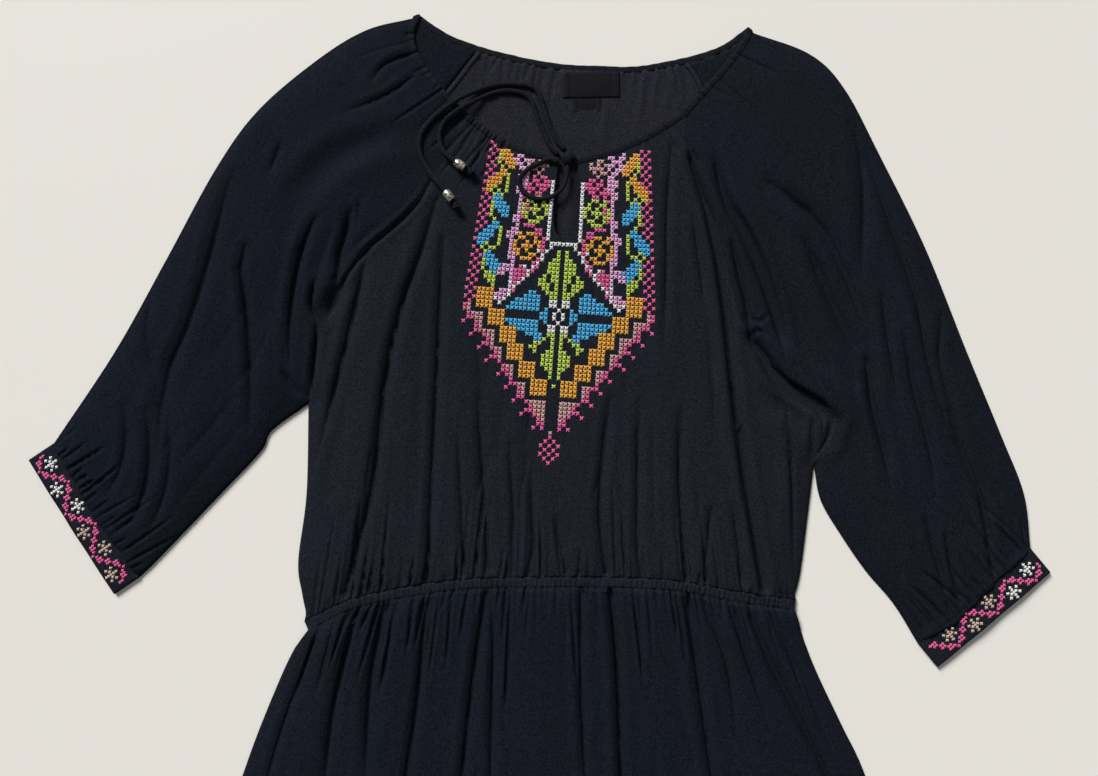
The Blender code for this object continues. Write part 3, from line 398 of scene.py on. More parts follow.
def patch(bottom, top, left, right, u, v):
    """Points of a patch between four edges, a row for each v. u runs from left to right."""
    u, v = np.asarray(u)[None, :, None], np.asarray(v)[:, None, None]
    across = (1 - v) * along(bottom, u[0, :, 0])[None] + v * along(top, u[0, :, 0])[None]
    up = (1 - u) * along(left, v[:, 0, 0])[:, None] + u * along(right, v[:, 0, 0])[:, None]
    corners = (1 - v) * ((1 - u) * bottom[0] + u * bottom[-1]) + v * ((1 - u) * top[0] + u * top[-1])
    return across + up - corners


class Neck:
    """The centre line of the neck binding, and the cloth's edges beside it."""

    FRONT_STEPS = 72
    CENTRE_STEPS = HALF_COLUMNS
    PEAK_STEPS = 22
    BACK_STEPS = 88

    def __init__(self):
        front_left = smooth(BINDING_FRONT_LEFT, self.FRONT_STEPS)
        centre_left = smooth(BINDING_CENTRE_LEFT, self.CENTRE_STEPS)
        centre_right = smooth(BINDING_CENTRE_RIGHT, self.CENTRE_STEPS)
        front_right = smooth(BINDING_FRONT_RIGHT, self.FRONT_STEPS)
        self.back = np.vstack([smooth(BINDING_BACK_LEFT, self.PEAK_STEPS)[:-1],
                               smooth(BINDING_BACK, self.BACK_STEPS)[:-1],
                               smooth(BINDING_BACK_RIGHT, self.PEAK_STEPS)])
        self.left = np.vstack([front_left, centre_left[1:]])[::-1]
        self.right = np.vstack([centre_right, front_right[1:]])
        self.ring = np.vstack([self.left, self.back[1:], self.right[::-1][1:]])
        self.crease_left = self.crease(self.left, self.back)
        self.crease_right = self.crease(self.right, self.back[::-1])
        left = shifted(self.left, UNDER_BINDING)
        right = shifted(self.right, -UNDER_BINDING)
        back = shifted(self.back, -UNDER_BINDING)
        left[-1] = back[0] = self.left[-1] - self.crease_left * (UNDER_BINDING + PEAK_GAP)
        right[-1] = back[-1] = self.right[-1] - self.crease_right * (UNDER_BINDING + PEAK_GAP)
        self.sleeve_front = {"left": left[self.CENTRE_STEPS:][::-1], "right": right[self.CENTRE_STEPS:][::-1]}
        self.sleeve_back = {"left": back[:self.PEAK_STEPS + 1][::-1], "right": back[-self.PEAK_STEPS - 1:]}
        self.bodice_left = left[:self.CENTRE_STEPS + 1][::-1]
        self.bodice_right = right[:self.CENTRE_STEPS + 1]
        self.bodice_back = back[self.PEAK_STEPS:-self.PEAK_STEPS]

    @staticmethod
    def crease(front, back):
        """Direction of the shoulder fold's crease, towards the binding's free edge."""
        come, go = front[-1] - front[-2], back[1] - back[0]
        out = come / np.linalg.norm(come) - go / np.linalg.norm(go)
        out /= np.linalg.norm(out)
        side = np.array([out[1], -out[0]])
        return side if side @ go > 0 else -side


def raglan(top, stretches):
    """A raglan seam from the neck to the underarm, in its two stretches."""
    upper, lower = stretches
    first = smooth([top, *upper], SLIT_ROWS)
    second = smooth([upper[-1], *lower], RAGLAN_ROWS)
    return np.vstack([first, second[1:]])


NECK = Neck()
RAGLANS = {
    "left": raglan(NECK.bodice_left[0], RAGLAN_LEFT),
    "right": raglan(NECK.bodice_right[-1], RAGLAN_RIGHT),
}
BACK_RAGLANS = {
    "left": raglan(NECK.bodice_back[0], BACK_RAGLAN_LEFT),
    "right": raglan(NECK.bodice_back[-1], BACK_RAGLAN_RIGHT),
}
SIDES = {"left": smooth(SIDE_LEFT, SIDE_ROWS), "right": smooth(SIDE_RIGHT, SIDE_ROWS)}
UNDERARMS = {
    "left": smooth([SIDE_LEFT[0], *UNDERARM_LEFT], 40),
    "right": smooth([SIDE_RIGHT[0], *UNDERARM_RIGHT], 40),
}
OUTER_FOLDS = {
    "left": smooth([NECK.sleeve_front["left"][0], *FOLD_LEFT], 60),
    "right": smooth([NECK.sleeve_front["right"][0], *FOLD_RIGHT], 60),
}
WAIST_LINE = smooth(WAIST, 60)
SKIRT_SIDES = {"left": smooth(SKIRT_SIDE_LEFT, 30), "right": smooth(SKIRT_SIDE_RIGHT, 30)}
HEM_LINE = smooth(HEM, 30)
SEAM_EDGES = [*UNDERARMS.values(), *SIDES.values(), *SKIRT_SIDES.values(), HEM_LINE]
CUFF_SEAMS = [np.array([OUTER_FOLDS[side][-1], UNDERARMS[side][-1]]) for side in ("left", "right")]
COARSE_NECK = [NECK.left[::6], NECK.right[::6]]


# Folds and gathers

class Fold:
    """A crease or a ridge along a line, and the height that it adds around it."""

    def __init__(self, points, width, height, lean=0, ends=None):
        self.line = smooth(points, 8)
        if ends is None:
            to_waist = nearest(self.line[[0, -1], 0], self.line[[0, -1], 1], WAIST_LINE)[0]
            ends = np.where(to_waist < WAIST_REACH, WAIST_END, OPEN_ENDS)
        self.width, self.height, self.lean, self.ends = width, height, lean, ends
        self.slot = SLOT_GAIN * np.interp(width, SLOT_FADES, (1, 0))
        self.slot_width = max(SLOT_LEAST, SLOT_SHARE * width)
        self.reach = 3.0 * width

    def add_to(self, x, y, total):
        """Adds this fold's height to the points within its reach."""
        low, high = self.line.min(axis=0) - self.reach, self.line.max(axis=0) + self.reach
        near = np.flatnonzero((x > low[0]) & (x < high[0]) & (y > low[1]) & (y < high[1]))
        if not len(near):
            return
        distance, share, side = nearest(x[near], y[near], self.line)
        strength = np.interp(share, (0.0, 0.22, 0.65, 1.0), (self.ends[0], 1.0, 0.9, self.ends[1]))
        wide = distance / self.width
        shape = np.exp(-wide ** 2)
        if self.height < 0:
            flank = np.exp(-((wide - 1.15) / 0.62) ** 2) * np.where(side == self.lean, FLANK_HIGH, FLANK_LOW)
            shape = VALLEY_GAIN * shape + self.slot * np.exp(-(distance / self.slot_width) ** 2) - flank
        total[near] += self.height * strength * shape


def gathers(line, count, away, lengths, widths, depths, seed, skip=(2.0, 2.0)):
    """Creases of uneven size that start at a seam and run to its left (away = 1) or right (-1)."""
    rng = np.random.default_rng(seed)
    made = []
    for k in range(count):
        share = (k + 0.5 + rng.uniform(-0.38, 0.38)) / count
        length = lengths[0] + (lengths[1] - lengths[0]) * rng.random() ** 2
        width, depth, drift = rng.uniform(*widths), rng.uniform(*depths), rng.normal(0, 0.1)
        if skip[0] < share < skip[1]:
            continue
        start = along(line, share)
        run = along(line, min(1.0, share + 0.01)) - along(line, max(0.0, share - 0.01))
        run /= np.linalg.norm(run)
        out = np.array([-run[1], run[0]]) * away
        middle = start + out * length * 0.5 + run * drift * length * 0.4
        end = start + out * length + run * drift * length
        made.append(Fold([start, middle, end], width, -depth, 0, ends=(1.0, 0.0)))
    return made


def waist_gathers():
    """Creases that cross the casing and fade into the bodice above and the skirt below."""
    rng = np.random.default_rng(SEED["waist"])
    made = []
    share = 0.006
    while share < 0.994:
        up, down = 9 + 95 * rng.random(2) ** 2.2
        lean = rng.normal(0, 0.006, 2)
        points = [skirt_flow(share + lean[0] * part, part * down / SKIRT_LENGTH) for part in (1.0, 0.5)]
        points.append(along(WAIST_LINE, share))
        points += [bodice_flow(share + lean[1] * part, 1 - part * up / BODICE_LENGTH) for part in (0.5, 1.0)]
        depth = 0.7 + 1.7 * rng.random() ** 1.4
        made.append(Fold(points, rng.uniform(2.0, 3.6), -depth, rng.choice((-1, 1)), ends=(0.0, 0.0)))
        share += rng.uniform(0.55, 1.45) / WAIST_CREASES
    return made


def flow_wrinkles(place, count, strength, widths, seed):
    """Faint short creases and ridges along the cloth's flow. place(u, v) maps shares to points."""
    rng = np.random.default_rng(seed)
    made = []
    for _ in range(count):
        u, v = rng.uniform(0.04, 0.96), rng.uniform(0.02, 0.85)
        run, drift = rng.uniform(0.08, 0.3), rng.normal(0, 0.012)
        points = [place(u + drift * k, min(0.98, v + run * k / 2)) for k in range(3)]
        height = strength * rng.uniform(0.3, 0.9) * rng.choice((-1, 1))
        made.append(Fold(points, rng.uniform(*widths), height, rng.choice((-1, 0, 1))))
    return made


def bodice_flow(u, v):
    """A place on the bodice: u across it, v from the neck down to the waist."""
    top = np.array([-150 + 320 * u, 230 - 30 * abs(u - 0.5)])
    return top * (1 - v) + along(WAIST_LINE, u) * v


def skirt_flow(u, v):
    """A place on the skirt: u across it, v from the waist down to the hem."""
    return along(WAIST_LINE, u) * (1 - v) + along(HEM_LINE, u) * v


def sleeve_flow(side):
    """A place on a sleeve: u from the outer fold to the seam, v from the neck to the cuff."""
    edge = np.vstack([smooth(np.vstack([RAGLANS[side][::14]]), 30), UNDERARMS[side][::2][1:]])

    def place(u, v):
        return along(OUTER_FOLDS[side], v) * (1 - u) + along(edge, v) * u
    return place


def make_folds():
    """Every fold of the front: the named ones, the gathers at each seam, and faint wrinkles."""
    made = [Fold(*row) for row in FOLDS]
    made += waist_gathers()
    made += gathers(NECK.left, 44, 1, (6, 70), (2.0, 3.6), (0.3, 1.1), SEED["neck"], (0.0, 0.40))
    made += gathers(NECK.right, 44, -1, (6, 70), (2.0, 3.6), (0.3, 1.1), SEED["neck"] + 1, (0.0, 0.40))
    for k, (seam, away) in enumerate(zip(CUFF_SEAMS, (1, -1))):
        made += gathers(seam, 19, away, (10, 75), (2.2, 3.6), (0.8, 2.0), SEED["cuff"] + k)
    made += flow_wrinkles(bodice_flow, 60, 0.9, (5, 12), SEED["wrinkles"])
    made += flow_wrinkles(skirt_flow, 50, 0.9, (4, 10), SEED["wrinkles"] + 1)
    for k, side in enumerate(("left", "right")):
        made += flow_wrinkles(sleeve_flow(side), 24, 0.65, (9, 15), SEED["wrinkles"] + 2 + k)
    return made


def make_back_folds():
    """Folds of the back's inside: the named ones and the gathers below the neck binding."""
    made = [Fold(*row) for row in BACK_FOLDS]
    made += gathers(smooth(BINDING_BACK, 60), 34, -1, (8, 60), (1.8, 3.2), (0.6, 1.7), SEED["back"],
                    (0.4, 0.64))
    made += gathers(smooth(BINDING_BACK_LEFT, 20), 5, -1, (6, 20), (1.8, 3.0), (0.3, 0.8), SEED["back"] + 1)
    made += gathers(smooth(BINDING_BACK_RIGHT, 20), 6, -1, (6, 20), (1.8, 3.0), (0.3, 0.8), SEED["back"] + 2)
    return made


ALL_FOLDS = make_folds()
ALL_BACK_FOLDS = make_back_folds()


def total_folds(x, y, folds):
    """Height that the folds add at each point."""
    total = np.zeros(x.shape)
    for fold in folds:
        fold.add_to(x, y, total)
    return total


def front_height(x, y):
    """Top of the front layer at points seen from above."""
    x, y = np.atleast_1d(np.asarray(x, dtype=float)), np.atleast_1d(np.asarray(y, dtype=float))
    shape = x.shape
    x, y = x.ravel(), y.ravel()
    seam, to_waist = distance_to(x, y, SEAM_EDGES), distance_to(x, y, [WAIST_LINE])
    edge = np.minimum(seam, distance_to(x, y, OUTER_FOLDS.values()))
    rise = PUFF * (1 - np.exp(-edge / PUFF_RUN))
    rise -= NECK_DIP * np.exp(-distance_to(x, y, COARSE_NECK) / NECK_DIP_RUN) * np.minimum(1, edge / PUFF_RUN)
    rise -= WAIST_DIP * np.exp(-(to_waist / WAIST_DIP_RUN) ** 2) * np.minimum(1, edge / 6)
    rise -= CUFF_DIP * np.exp(-distance_to(x, y, CUFF_SEAMS) / CUFF_DIP_RUN) * np.minimum(1, edge / PUFF_RUN)
    pressed = 1 - ELASTIC_PRESS * np.exp(-(to_waist / ELASTIC_RUN) ** 2)
    rise += total_folds(x, y, ALL_FOLDS) * (1 - np.exp(-edge / FOLD_EDGE_RUN)) * pressed
    level = RIDGE_LIMIT + 2.0 * np.tanh((rise - RIDGE_LIMIT) / RIDGE_SOFT)
    rise = np.where(rise < RIDGE_LIMIT, rise, level)
    floor = CREASE_LIMIT - CREASE_SOFT
    rounded = np.exp((np.minimum(rise, CREASE_LIMIT) - CREASE_LIMIT) / CREASE_SOFT) * CREASE_SOFT + floor
    rise = np.where(rise > CREASE_LIMIT, rise, rounded)
    roll = np.sqrt(1 - (1 - np.minimum(seam / EDGE_ROLL, 1)) ** 2)
    height = LOW_EDGE + (FRONT_EDGE - LOW_EDGE) * roll + rise * np.minimum(1, 0.15 + edge / 3)
    return height.reshape(shape)


def back_height(x, y):
    """Inside of the back layer at points seen from above, thinner where the front covers it."""
    shape = x.shape
    x, y = x.ravel(), y.ravel()
    slit = inside(x, y, np.array([*SLIT_LEFT, *SLIT_RIGHT[::-1]]))
    covered = np.minimum(distance_to(x, y, COARSE_NECK) / 12, 1) * ~(inside(x, y, NECK.ring) | slit)
    level = INSIDE_LEVEL + (COVERED_LEVEL - INSIDE_LEVEL) * covered
    return (level + np.clip(total_folds(x, y, ALL_BACK_FOLDS), *BACK_FOLD_RANGE)).reshape(shape)


# Meshes

def linked(name, points, faces, materials, face_slots=None, fix=False):
    """A smooth object from points in millimetres and faces of one size or several."""
    mesh = bpy.data.meshes.new(name)
    mesh.from_pydata((np.asarray(points, dtype=float) * MM).tolist(), [], [tuple(f) for f in faces])
    if fix:
        # Turns every face outwards
        shell = bmesh.new()
        shell.from_mesh(mesh)
        bmesh.ops.recalc_face_normals(shell, faces=shell.faces)
        shell.to_mesh(mesh)
        shell.free()
    mesh.shade_smooth()
    for material in materials:
        mesh.materials.append(material)
    if face_slots is not None:
        mesh.polygons.foreach_set("material_index", face_slots)
    made = bpy.data.objects.new(name, mesh)
    bpy.context.scene.collection.objects.link(made)
    return made


def grid_faces(numbers, wrap=False):
    """Quads between the rows of a grid of point numbers."""
    if wrap:
        numbers = np.hstack([numbers, numbers[:, :1]])
    a, b = numbers[:-1, :-1].ravel(), numbers[:-1, 1:].ravel()
    c, d = numbers[1:, 1:].ravel(), numbers[1:, :-1].ravel()
    return np.stack([a, b, c, d], axis=1)


def point_normals(points, faces):
    """Unit normals at the points of a mesh of quads."""
    p = points[faces]
    across = np.cross(p[:, 2] - p[:, 0], p[:, 3] - p[:, 1])
    total = np.zeros_like(points)
    for k in range(4):
        np.add.at(total, faces[:, k], across)
    return total / np.linalg.norm(total, axis=1)[:, None]


def closed_shell(name, points, faces, material, flip=False, inner=None, coarse=None):
    """A closed thin shell: the outer points, the same moved inwards, and a rim where the cloth ends.

    coarse, where given, holds the faces of the inner layer, which then uses only some of the points."""
    points = np.asarray(points, dtype=float)
    coarse = faces if coarse is None else coarse
    if flip:
        faces, coarse = faces[:, ::-1], coarse[:, ::-1]
    if inner is None:
        inner = points - point_normals(points, faces) * SHELL
        inner[:, 2] = np.maximum(inner[:, 2], 0.05)
    count = len(points)
    used = np.unique(coarse)
    inner_number = np.full(count, -1)
    inner_number[used] = count + np.arange(len(used))
    start, end = faces.ravel(), np.roll(faces, -1, axis=1).ravel()
    rim = ~np.isin(start * count + end, end * count + start)
    following = dict(zip(start[rim].tolist(), end[rim].tolist()))
    rims = []
    for first in following:
        if inner_number[first] < 0:
            continue
        run = [first, following[first]]
        while inner_number[run[-1]] < 0:
            run.append(following[run[-1]])
        rims.append([*run[::-1], int(inner_number[first]), int(inner_number[run[-1]])])
    everything = faces.tolist() + inner_number[coarse[:, ::-1]].tolist() + rims
    return linked(name, np.vstack([points, inner[used]]), everything, [material])


def coarse_faces(numbers):
    """Faces of the inner layer of a grid."""
    return grid_faces(numbers[::COARSE_STEP[0], ::COARSE_STEP[1]])


class Batch:
    """Many small closed forms gathered in one mesh."""

    def __init__(self):
        self.points, self.faces, self.slots, self.count = [], [], [], 0

    def add(self, points, faces, slot=0):
        """Adds one form, or many of one kind."""
        self.points.append(np.asarray(points, dtype=float))
        self.faces += [tuple(int(i) + self.count for i in face) for face in faces]
        self.slots += [slot] * len(faces)
        self.count += len(points)

    def build(self, name, materials, fix=False):
        """The joined object."""
        return linked(name, np.vstack(self.points), self.faces, materials, self.slots, fix)


# A thread's shape: place along it, width and height at each station, and across and up round its section
BAR_STATIONS = ((-1.0, 0.5, 0.05), (-0.5, 1.0, 0.85), (0.5, 1.0, 0.85), (1.0, 0.5, 0.05))
BAR_SECTION = ((1.0, 0.2), (0.0, 1.0), (-1.0, 0.2), (0.0, -0.35))


def bars(batch, centres, angles, half_length, half_width, height, lift, surface, slot=0):
    """Raised stitches of thread: one closed bar for each centre, lying on a surface at its angle."""
    run = np.stack([np.cos(angles), np.sin(angles)], axis=1)
    side = np.stack([-run[:, 1], run[:, 0]], axis=1)
    half_length = np.broadcast_to(half_length, angles.shape)[:, None]
    flat, raised = [], []
    for reach, wide, high in BAR_STATIONS:
        for across, up in BAR_SECTION:
            flat.append(centres + run * half_length * reach + side * half_width * wide * across)
            raised.append(height * up * (0.3 + 0.7 * high) + lift * high)
    flat = np.stack(flat, axis=1)
    z = surface(flat[..., 0], flat[..., 1]) + np.array(raised)[None, :]
    count = len(BAR_STATIONS) * len(BAR_SECTION)
    faces = []
    for s in range(len(BAR_STATIONS) - 1):
        for j in range(4):
            k = (j + 1) % 4
            faces.append((4 * s + j, 4 * s + k, 4 * s + 4 + k, 4 * s + 4 + j))
    faces += [(3, 2, 1, 0), (count - 4, count - 3, count - 2, count - 1)]
    many = (np.array(faces)[None] + np.arange(len(angles))[:, None, None] * count).reshape(-1, 4)
    batch.add(np.concatenate([flat, z[..., None]], axis=2).reshape(-1, 3), many, slot)


def tube(path, ups, half_width, half_height, sides, groove=0.0):
    """Points and faces of a closed tube along a path, wider than it is high, with a seam groove."""
    path = np.asarray(path, dtype=float)
    run = np.gradient(path, axis=0)
    run /= np.linalg.norm(run, axis=1)[:, None]
    ups = np.broadcast_to(np.asarray(ups, dtype=float), path.shape)
    across = np.cross(ups, run)
    across /= np.linalg.norm(across, axis=1)[:, None]
    up = np.cross(run, across)
    angle = np.arange(sides) * 2 * math.pi / sides
    dent = 1 - groove * np.exp(-((angle - math.radians(55)) / 0.35) ** 2)
    half_width = np.broadcast_to(half_width, len(path))[:, None, None]
    half_height = np.broadcast_to(half_height, len(path))[:, None, None]
    points = (path[:, None] + across[:, None] * (np.cos(angle) * dent)[None, :, None] * half_width
              + up[:, None] * (np.sin(angle) * dent)[None, :, None] * half_height)
    numbers = numbered(len(path), sides)
    caps = [numbers[0][::-1].tolist(), numbers[-1].tolist()]
    return points.reshape(-1, 3), grid_faces(numbers, wrap=True).tolist() + caps


def rounded_ends(count, length, radius):
    """Shares of the full size along a tube, so that both its ends are rounded."""
    place = np.linspace(0, length, count)
    end = np.minimum(place, length - place)
    return np.sqrt(np.clip(1 - (1 - np.minimum(end / radius, 1)) ** 2, 0.03, 1))


# Materials

class Look:
    """A procedural material on a Principled BSDF."""

    def __init__(self, name, colour, roughness, metallic=0.0, specular=0.3, sheen=0.0,
                 sheen_tint=(1, 1, 1), sheen_roughness=0.4):
        self.material = bpy.data.materials.new(name)
        self.material.use_nodes = True
        self.tree = self.material.node_tree
        self.shader = self.tree.nodes["Principled BSDF"]
        self.set("Base Color", (*colour, 1))
        self.set("Roughness", roughness)
        self.set("Metallic", metallic)
        self.set("Specular IOR Level", specular)
        self.set("Sheen Weight", sheen)
        self.set("Sheen Tint", (*sheen_tint, 1))
        self.set("Sheen Roughness", sheen_roughness)
        self.coordinates = self.node("ShaderNodeTexCoord").outputs["Object"]
        self.normal = None

    def set(self, socket, value):
        """A constant on the shader's own socket."""
        self.shader.inputs[socket].default_value = value

    def node(self, kind, **values):
        """A new node with inputs set by name."""
        made = self.tree.nodes.new(kind)
        for key, value in values.items():
            made.inputs[key.replace("_", " ")].default_value = value
        return made

    def noise(self, scale, detail=2.0, stretch=(1, 1, 1), turn=0.0):
        """Noise in the piece's own space. scale is in cells to a metre."""
        mapping = self.node("ShaderNodeMapping", Scale=stretch, Rotation=(0, 0, turn))
        texture = self.node("ShaderNodeTexNoise", Scale=scale, Detail=detail)
        self.tree.links.new(self.coordinates, mapping.inputs["Vector"])
        self.tree.links.new(mapping.outputs["Vector"], texture.inputs["Vector"])
        return texture.outputs["Fac"]

    def vary_colour(self, factor, dark, light, low=0.35, high=0.65):
        """Colour between dark and light by a factor."""
        ramp = self.node("ShaderNodeValToRGB")
        ramp.color_ramp.elements[0].position, ramp.color_ramp.elements[0].color = low, (*dark, 1)
        ramp.color_ramp.elements[1].position, ramp.color_ramp.elements[1].color = high, (*light, 1)
        self.tree.links.new(factor, ramp.inputs["Fac"])
        self.tree.links.new(ramp.outputs["Color"], self.shader.inputs["Base Color"])

    def grain(self, factor, low, high):
        """Multiplies the base colour by a factor spread between low and high."""
        span = self.node("ShaderNodeMapRange", From_Min=0.3, From_Max=0.7, To_Min=low, To_Max=high)
        self.tree.links.new(factor, span.inputs["Value"])
        mix = self.tree.nodes.new("ShaderNodeVectorMath")
        mix.operation = "SCALE"
        self.tree.links.new(self.shader.inputs["Base Color"].links[0].from_socket, mix.inputs[0])
        self.tree.links.new(span.outputs["Result"], mix.inputs["Scale"])
        self.tree.links.new(mix.outputs["Vector"], self.shader.inputs["Base Color"])

    def vary_roughness(self, factor, low, high):
        """Roughness between two values by a factor."""
        span = self.node("ShaderNodeMapRange", To_Min=low, To_Max=high)
        self.tree.links.new(factor, span.inputs["Value"])
        self.tree.links.new(span.outputs["Result"], self.shader.inputs["Roughness"])

    def bump(self, factor, strength, distance):
        """Adds a bump on top of the earlier ones. distance is in metres."""
        bump = self.node("ShaderNodeBump", Strength=strength, Distance=distance)
        self.tree.links.new(factor, bump.inputs["Height"])
        if self.normal is not None:
            self.tree.links.new(self.normal, bump.inputs["Normal"])
        self.normal = bump.outputs["Normal"]
        self.tree.links.new(self.normal, self.shader.inputs["Normal"])


def cloth_look(name, dark, light, flow=0.0, painted_shade=(1, 1, 1)):
    """Soft black rayon: fine slubby weave both ways, slightly mottled, nearly matt. A panel's copy can be
    scaled darker and bluer as painted shade, for the lower light on that panel.
    """
    # Painted shade: both colours are scaled down for a panel that lies in lower light
    dark, light = [tuple(c * s for c, s in zip(colour, painted_shade)) for colour in (dark, light)]
    look = Look(name, dark, 0.72, specular=0.015, sheen=0.012, sheen_tint=(0.62, 0.68, 0.85))
    look.vary_colour(look.noise(14, 3.0), dark, light, 0.36, 0.64)
    look.grain(look.noise(820, 2.0, (1.0, 0.7, 1.0), flow), 0.55, 1.45)
    look.vary_roughness(look.noise(300, 2.0), 0.62, 0.8)
    look.bump(look.noise(900, 2.0, (1.0, 0.16, 1.0), flow), 0.35, 0.0003)
    look.bump(look.noise(900, 2.0, (0.16, 1.0, 1.0), flow), 0.3, 0.0003)
    look.bump(look.noise(240, 2.0, (1.0, 0.5, 1.0), flow), 0.25, 0.0006)
    return look.material


def thread_look(name, colour):
    """Slightly glossy embroidery thread with fine plies and faded places."""
    look = Look(name, colour, 0.5, specular=0.4, sheen=0.2)
    look.vary_colour(look.noise(500, 3.0), tuple(0.82 * c for c in colour), colour, 0.3, 0.6)
    look.bump(look.noise(2600, 2.0), 0.5, 0.0002)
    return look.material


def make_materials():
    """Every material by name."""
    dark, light = (0.0123, 0.0145, 0.0206), (0.0135, 0.0149, 0.0206)
    looks = {
        "cloth": cloth_look("cloth", dark, light),
        # The skirt and the sleeves are darker, bluer copies of the same cloth: painted shade for the lower
        # light on them
        "skirt": cloth_look("skirt_cloth", dark, light, 0.0, (0.69, 0.74, 0.80)),
        "sleeve_left": cloth_look("left_sleeve_cloth", dark, light, 0.2, (0.64, 0.69, 0.76)),
        "sleeve_right": cloth_look("right_sleeve_cloth", dark, light, -0.2, (0.76, 0.77, 0.82)),
        "binding": cloth_look("binding_cloth", (0.0112, 0.0124, 0.0166), (0.0128, 0.0134, 0.0172), 0.7),
        "inside": cloth_look("inside_cloth", (0.0182, 0.0186, 0.0256), (0.0198, 0.0197, 0.0266)),
        "sewing": Look("sewing_thread", (0.012, 0.013, 0.017), 0.6, specular=0.05).material,
    }
    satin = Look("label_satin", (0.0024, 0.0027, 0.0036), 0.5, specular=0.12)
    satin.bump(satin.noise(1500, 1.0, (0.1, 1.0, 1.0)), 0.4, 0.0002)
    satin.vary_roughness(satin.noise(200, 2.0, (0.3, 1.0, 1.0)), 0.42, 0.6)
    looks["satin"] = satin.material
    metal = Look("bead_metal", (0.62, 0.58, 0.48), 0.34, metallic=0.85)
    metal.vary_colour(metal.noise(420, 4.0), (0.16, 0.14, 0.10), (0.78, 0.74, 0.62), 0.38, 0.58)
    metal.vary_roughness(metal.noise(800, 2.0), 0.25, 0.5)
    metal.bump(metal.noise(900, 2.0), 0.5, 0.0004)
    looks["metal"] = metal.material
    for name, colour in THREADS.items():
        looks[name] = thread_look("thread_" + name, colour)
    return looks


THREADS = {
    "pink": (0.84, 0.11, 0.33),
    "lime": (0.56, 0.72, 0.08),
    "lilac": (0.88, 0.46, 0.74),
    "orange": (0.92, 0.44, 0.035),
    "blue": (0.06, 0.48, 0.84),
    "white": (0.92, 0.90, 0.89),
    "dusty": (0.66, 0.37, 0.34),
    "tan": (0.66, 0.49, 0.40),
}
LOOKS = make_materials()


# Declaring pieces

def declare(piece, slot, *nodes):
    """A piece's body and the solids that it stands for. Its finish, slot, is not used."""
    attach(piece, "root")
    if nodes:
        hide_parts(*nodes)
    return piece


# Camera, light and floor

CAMERA_PLACE = (0.0108, -0.0193, 0.8204)
CAMERA_TILT = 5.0
FLOOR_HALF, FLOOR_LEVEL = 1500.0, -0.1


def make_stage():
    """The camera at the photograph's angle, a pale floor and soft light."""
    camera = bpy.data.objects.new("camera", bpy.data.cameras.new("camera"))
    camera.data.lens = 30.0
    camera.data.sensor_width = 36.0
    camera.data.clip_start = 0.01
    camera.location = CAMERA_PLACE
    camera.rotation_euler = (math.radians(CAMERA_TILT), 0, 0)
    bpy.context.scene.collection.objects.link(camera)
    bpy.context.scene.camera = camera
    corners = [(FLOOR_HALF * x, FLOOR_HALF * y, FLOOR_LEVEL) for x, y in ((-1, -1), (1, -1), (1, 1), (-1, 1))]
    pale = Look("pale_floor", (0.855, 0.82, 0.757), 0.6, specular=0.2)
    pale.bump(pale.noise(60, 2.0), 0.05, 0.0005)
    floor = linked("floor", corners, [(0, 1, 2, 3)], [pale.material])
    world = bpy.data.worlds.new("soft_room")
    world.use_nodes = True
    world.node_tree.nodes["Background"].inputs["Color"].default_value = (0.93, 0.96, 1.0, 1)
    world.node_tree.nodes["Background"].inputs["Strength"].default_value = 0.15
    bpy.context.scene.world = world
    # Each light: name, direction that it comes from, its softness in degrees, its strength
    lights = [("window", (-0.46, 0.74, 0.53), 24, 4.35), ("room", (0.7, 0.1, 0.9), 60, 0.2)]
    for name, source, softness, strength in lights:
        light = bpy.data.lights.new(name, "SUN")
        light.angle = math.radians(softness)
        light.energy = strength
        lamp = bpy.data.objects.new(name, light)
        lamp.rotation_euler = (-Vector(source)).to_track_quat("-Z", "Y").to_euler()
        bpy.context.scene.collection.objects.link(lamp)
    bpy.context.scene.view_settings.view_transform = "Standard"


# Ties, knots and beads

def lay_height(x, y):
    """Height of the cloth that a tie lies on."""
    to_binding = distance_to(x, y, COARSE_NECK)
    open_neck = inside(x, y, NECK.ring) & (to_binding > BINDING_WIDTH / 2)
    on_front = front_height(x, y) + np.where(to_binding < BINDING_WIDTH, 0.8, 0.0)
    return np.where(open_neck, INSIDE_LEVEL + 0.4, on_front)


def laid_route(points):
    """A tie's route over the cloth, in three dimensions, eased over what it crosses."""
    steps = int(round(length_of(smooth(points, 200)) / TIE_STEP))
    line = smooth(points, steps)
    sides = [line + normals(line) * s for s in (-2.0, 0, 2.0)]
    raw = np.max([lay_height(p[:, 0], p[:, 1]) for p in sides], axis=0)
    count = len(raw)
    held = np.array([raw[max(0, k - 8):k + 9].max() for k in range(count)])
    eased = np.array([held[max(0, k - 5):k + 6].mean() for k in range(count)])
    return np.column_stack([line, eased + GAP + TIE_HALF_HEIGHT])


def tie(name, route, node):
    """A rolled tie of cloth along its route."""
    count = len(route)
    length = length_of(route)
    ends = rounded_ends(count, length, 1.6)
    rng = np.random.default_rng(SEED["stitch"] + count)
    draws = rng.normal(0, 1, count // 6 + 2)
    pinch = 1 + 0.05 * np.interp(np.arange(count), np.arange(0, count + 6, 6), draws)
    points, faces = tube(route, (0, 0, 1), TIE_HALF_WIDTH * pinch * ends, TIE_HALF_HEIGHT * ends, 14, 0.16)
    piece = linked(name, points, faces, [LOOKS["binding"]])
    declare(piece, "cloth", node)


# A bead's radius and its place along the axis, from one end to the other
BEAD_HALF = [(2.45, -4.9), (3.2, -5.2), (3.75, -4.8), (3.55, -4.2), (3.95, -3.6), (4.2, -2.2)]
BEAD_PROFILE = [*BEAD_HALF, (4.3, 0.0), *[(radius, -run) for radius, run in reversed(BEAD_HALF)]]
BEAD_DENTS = 26


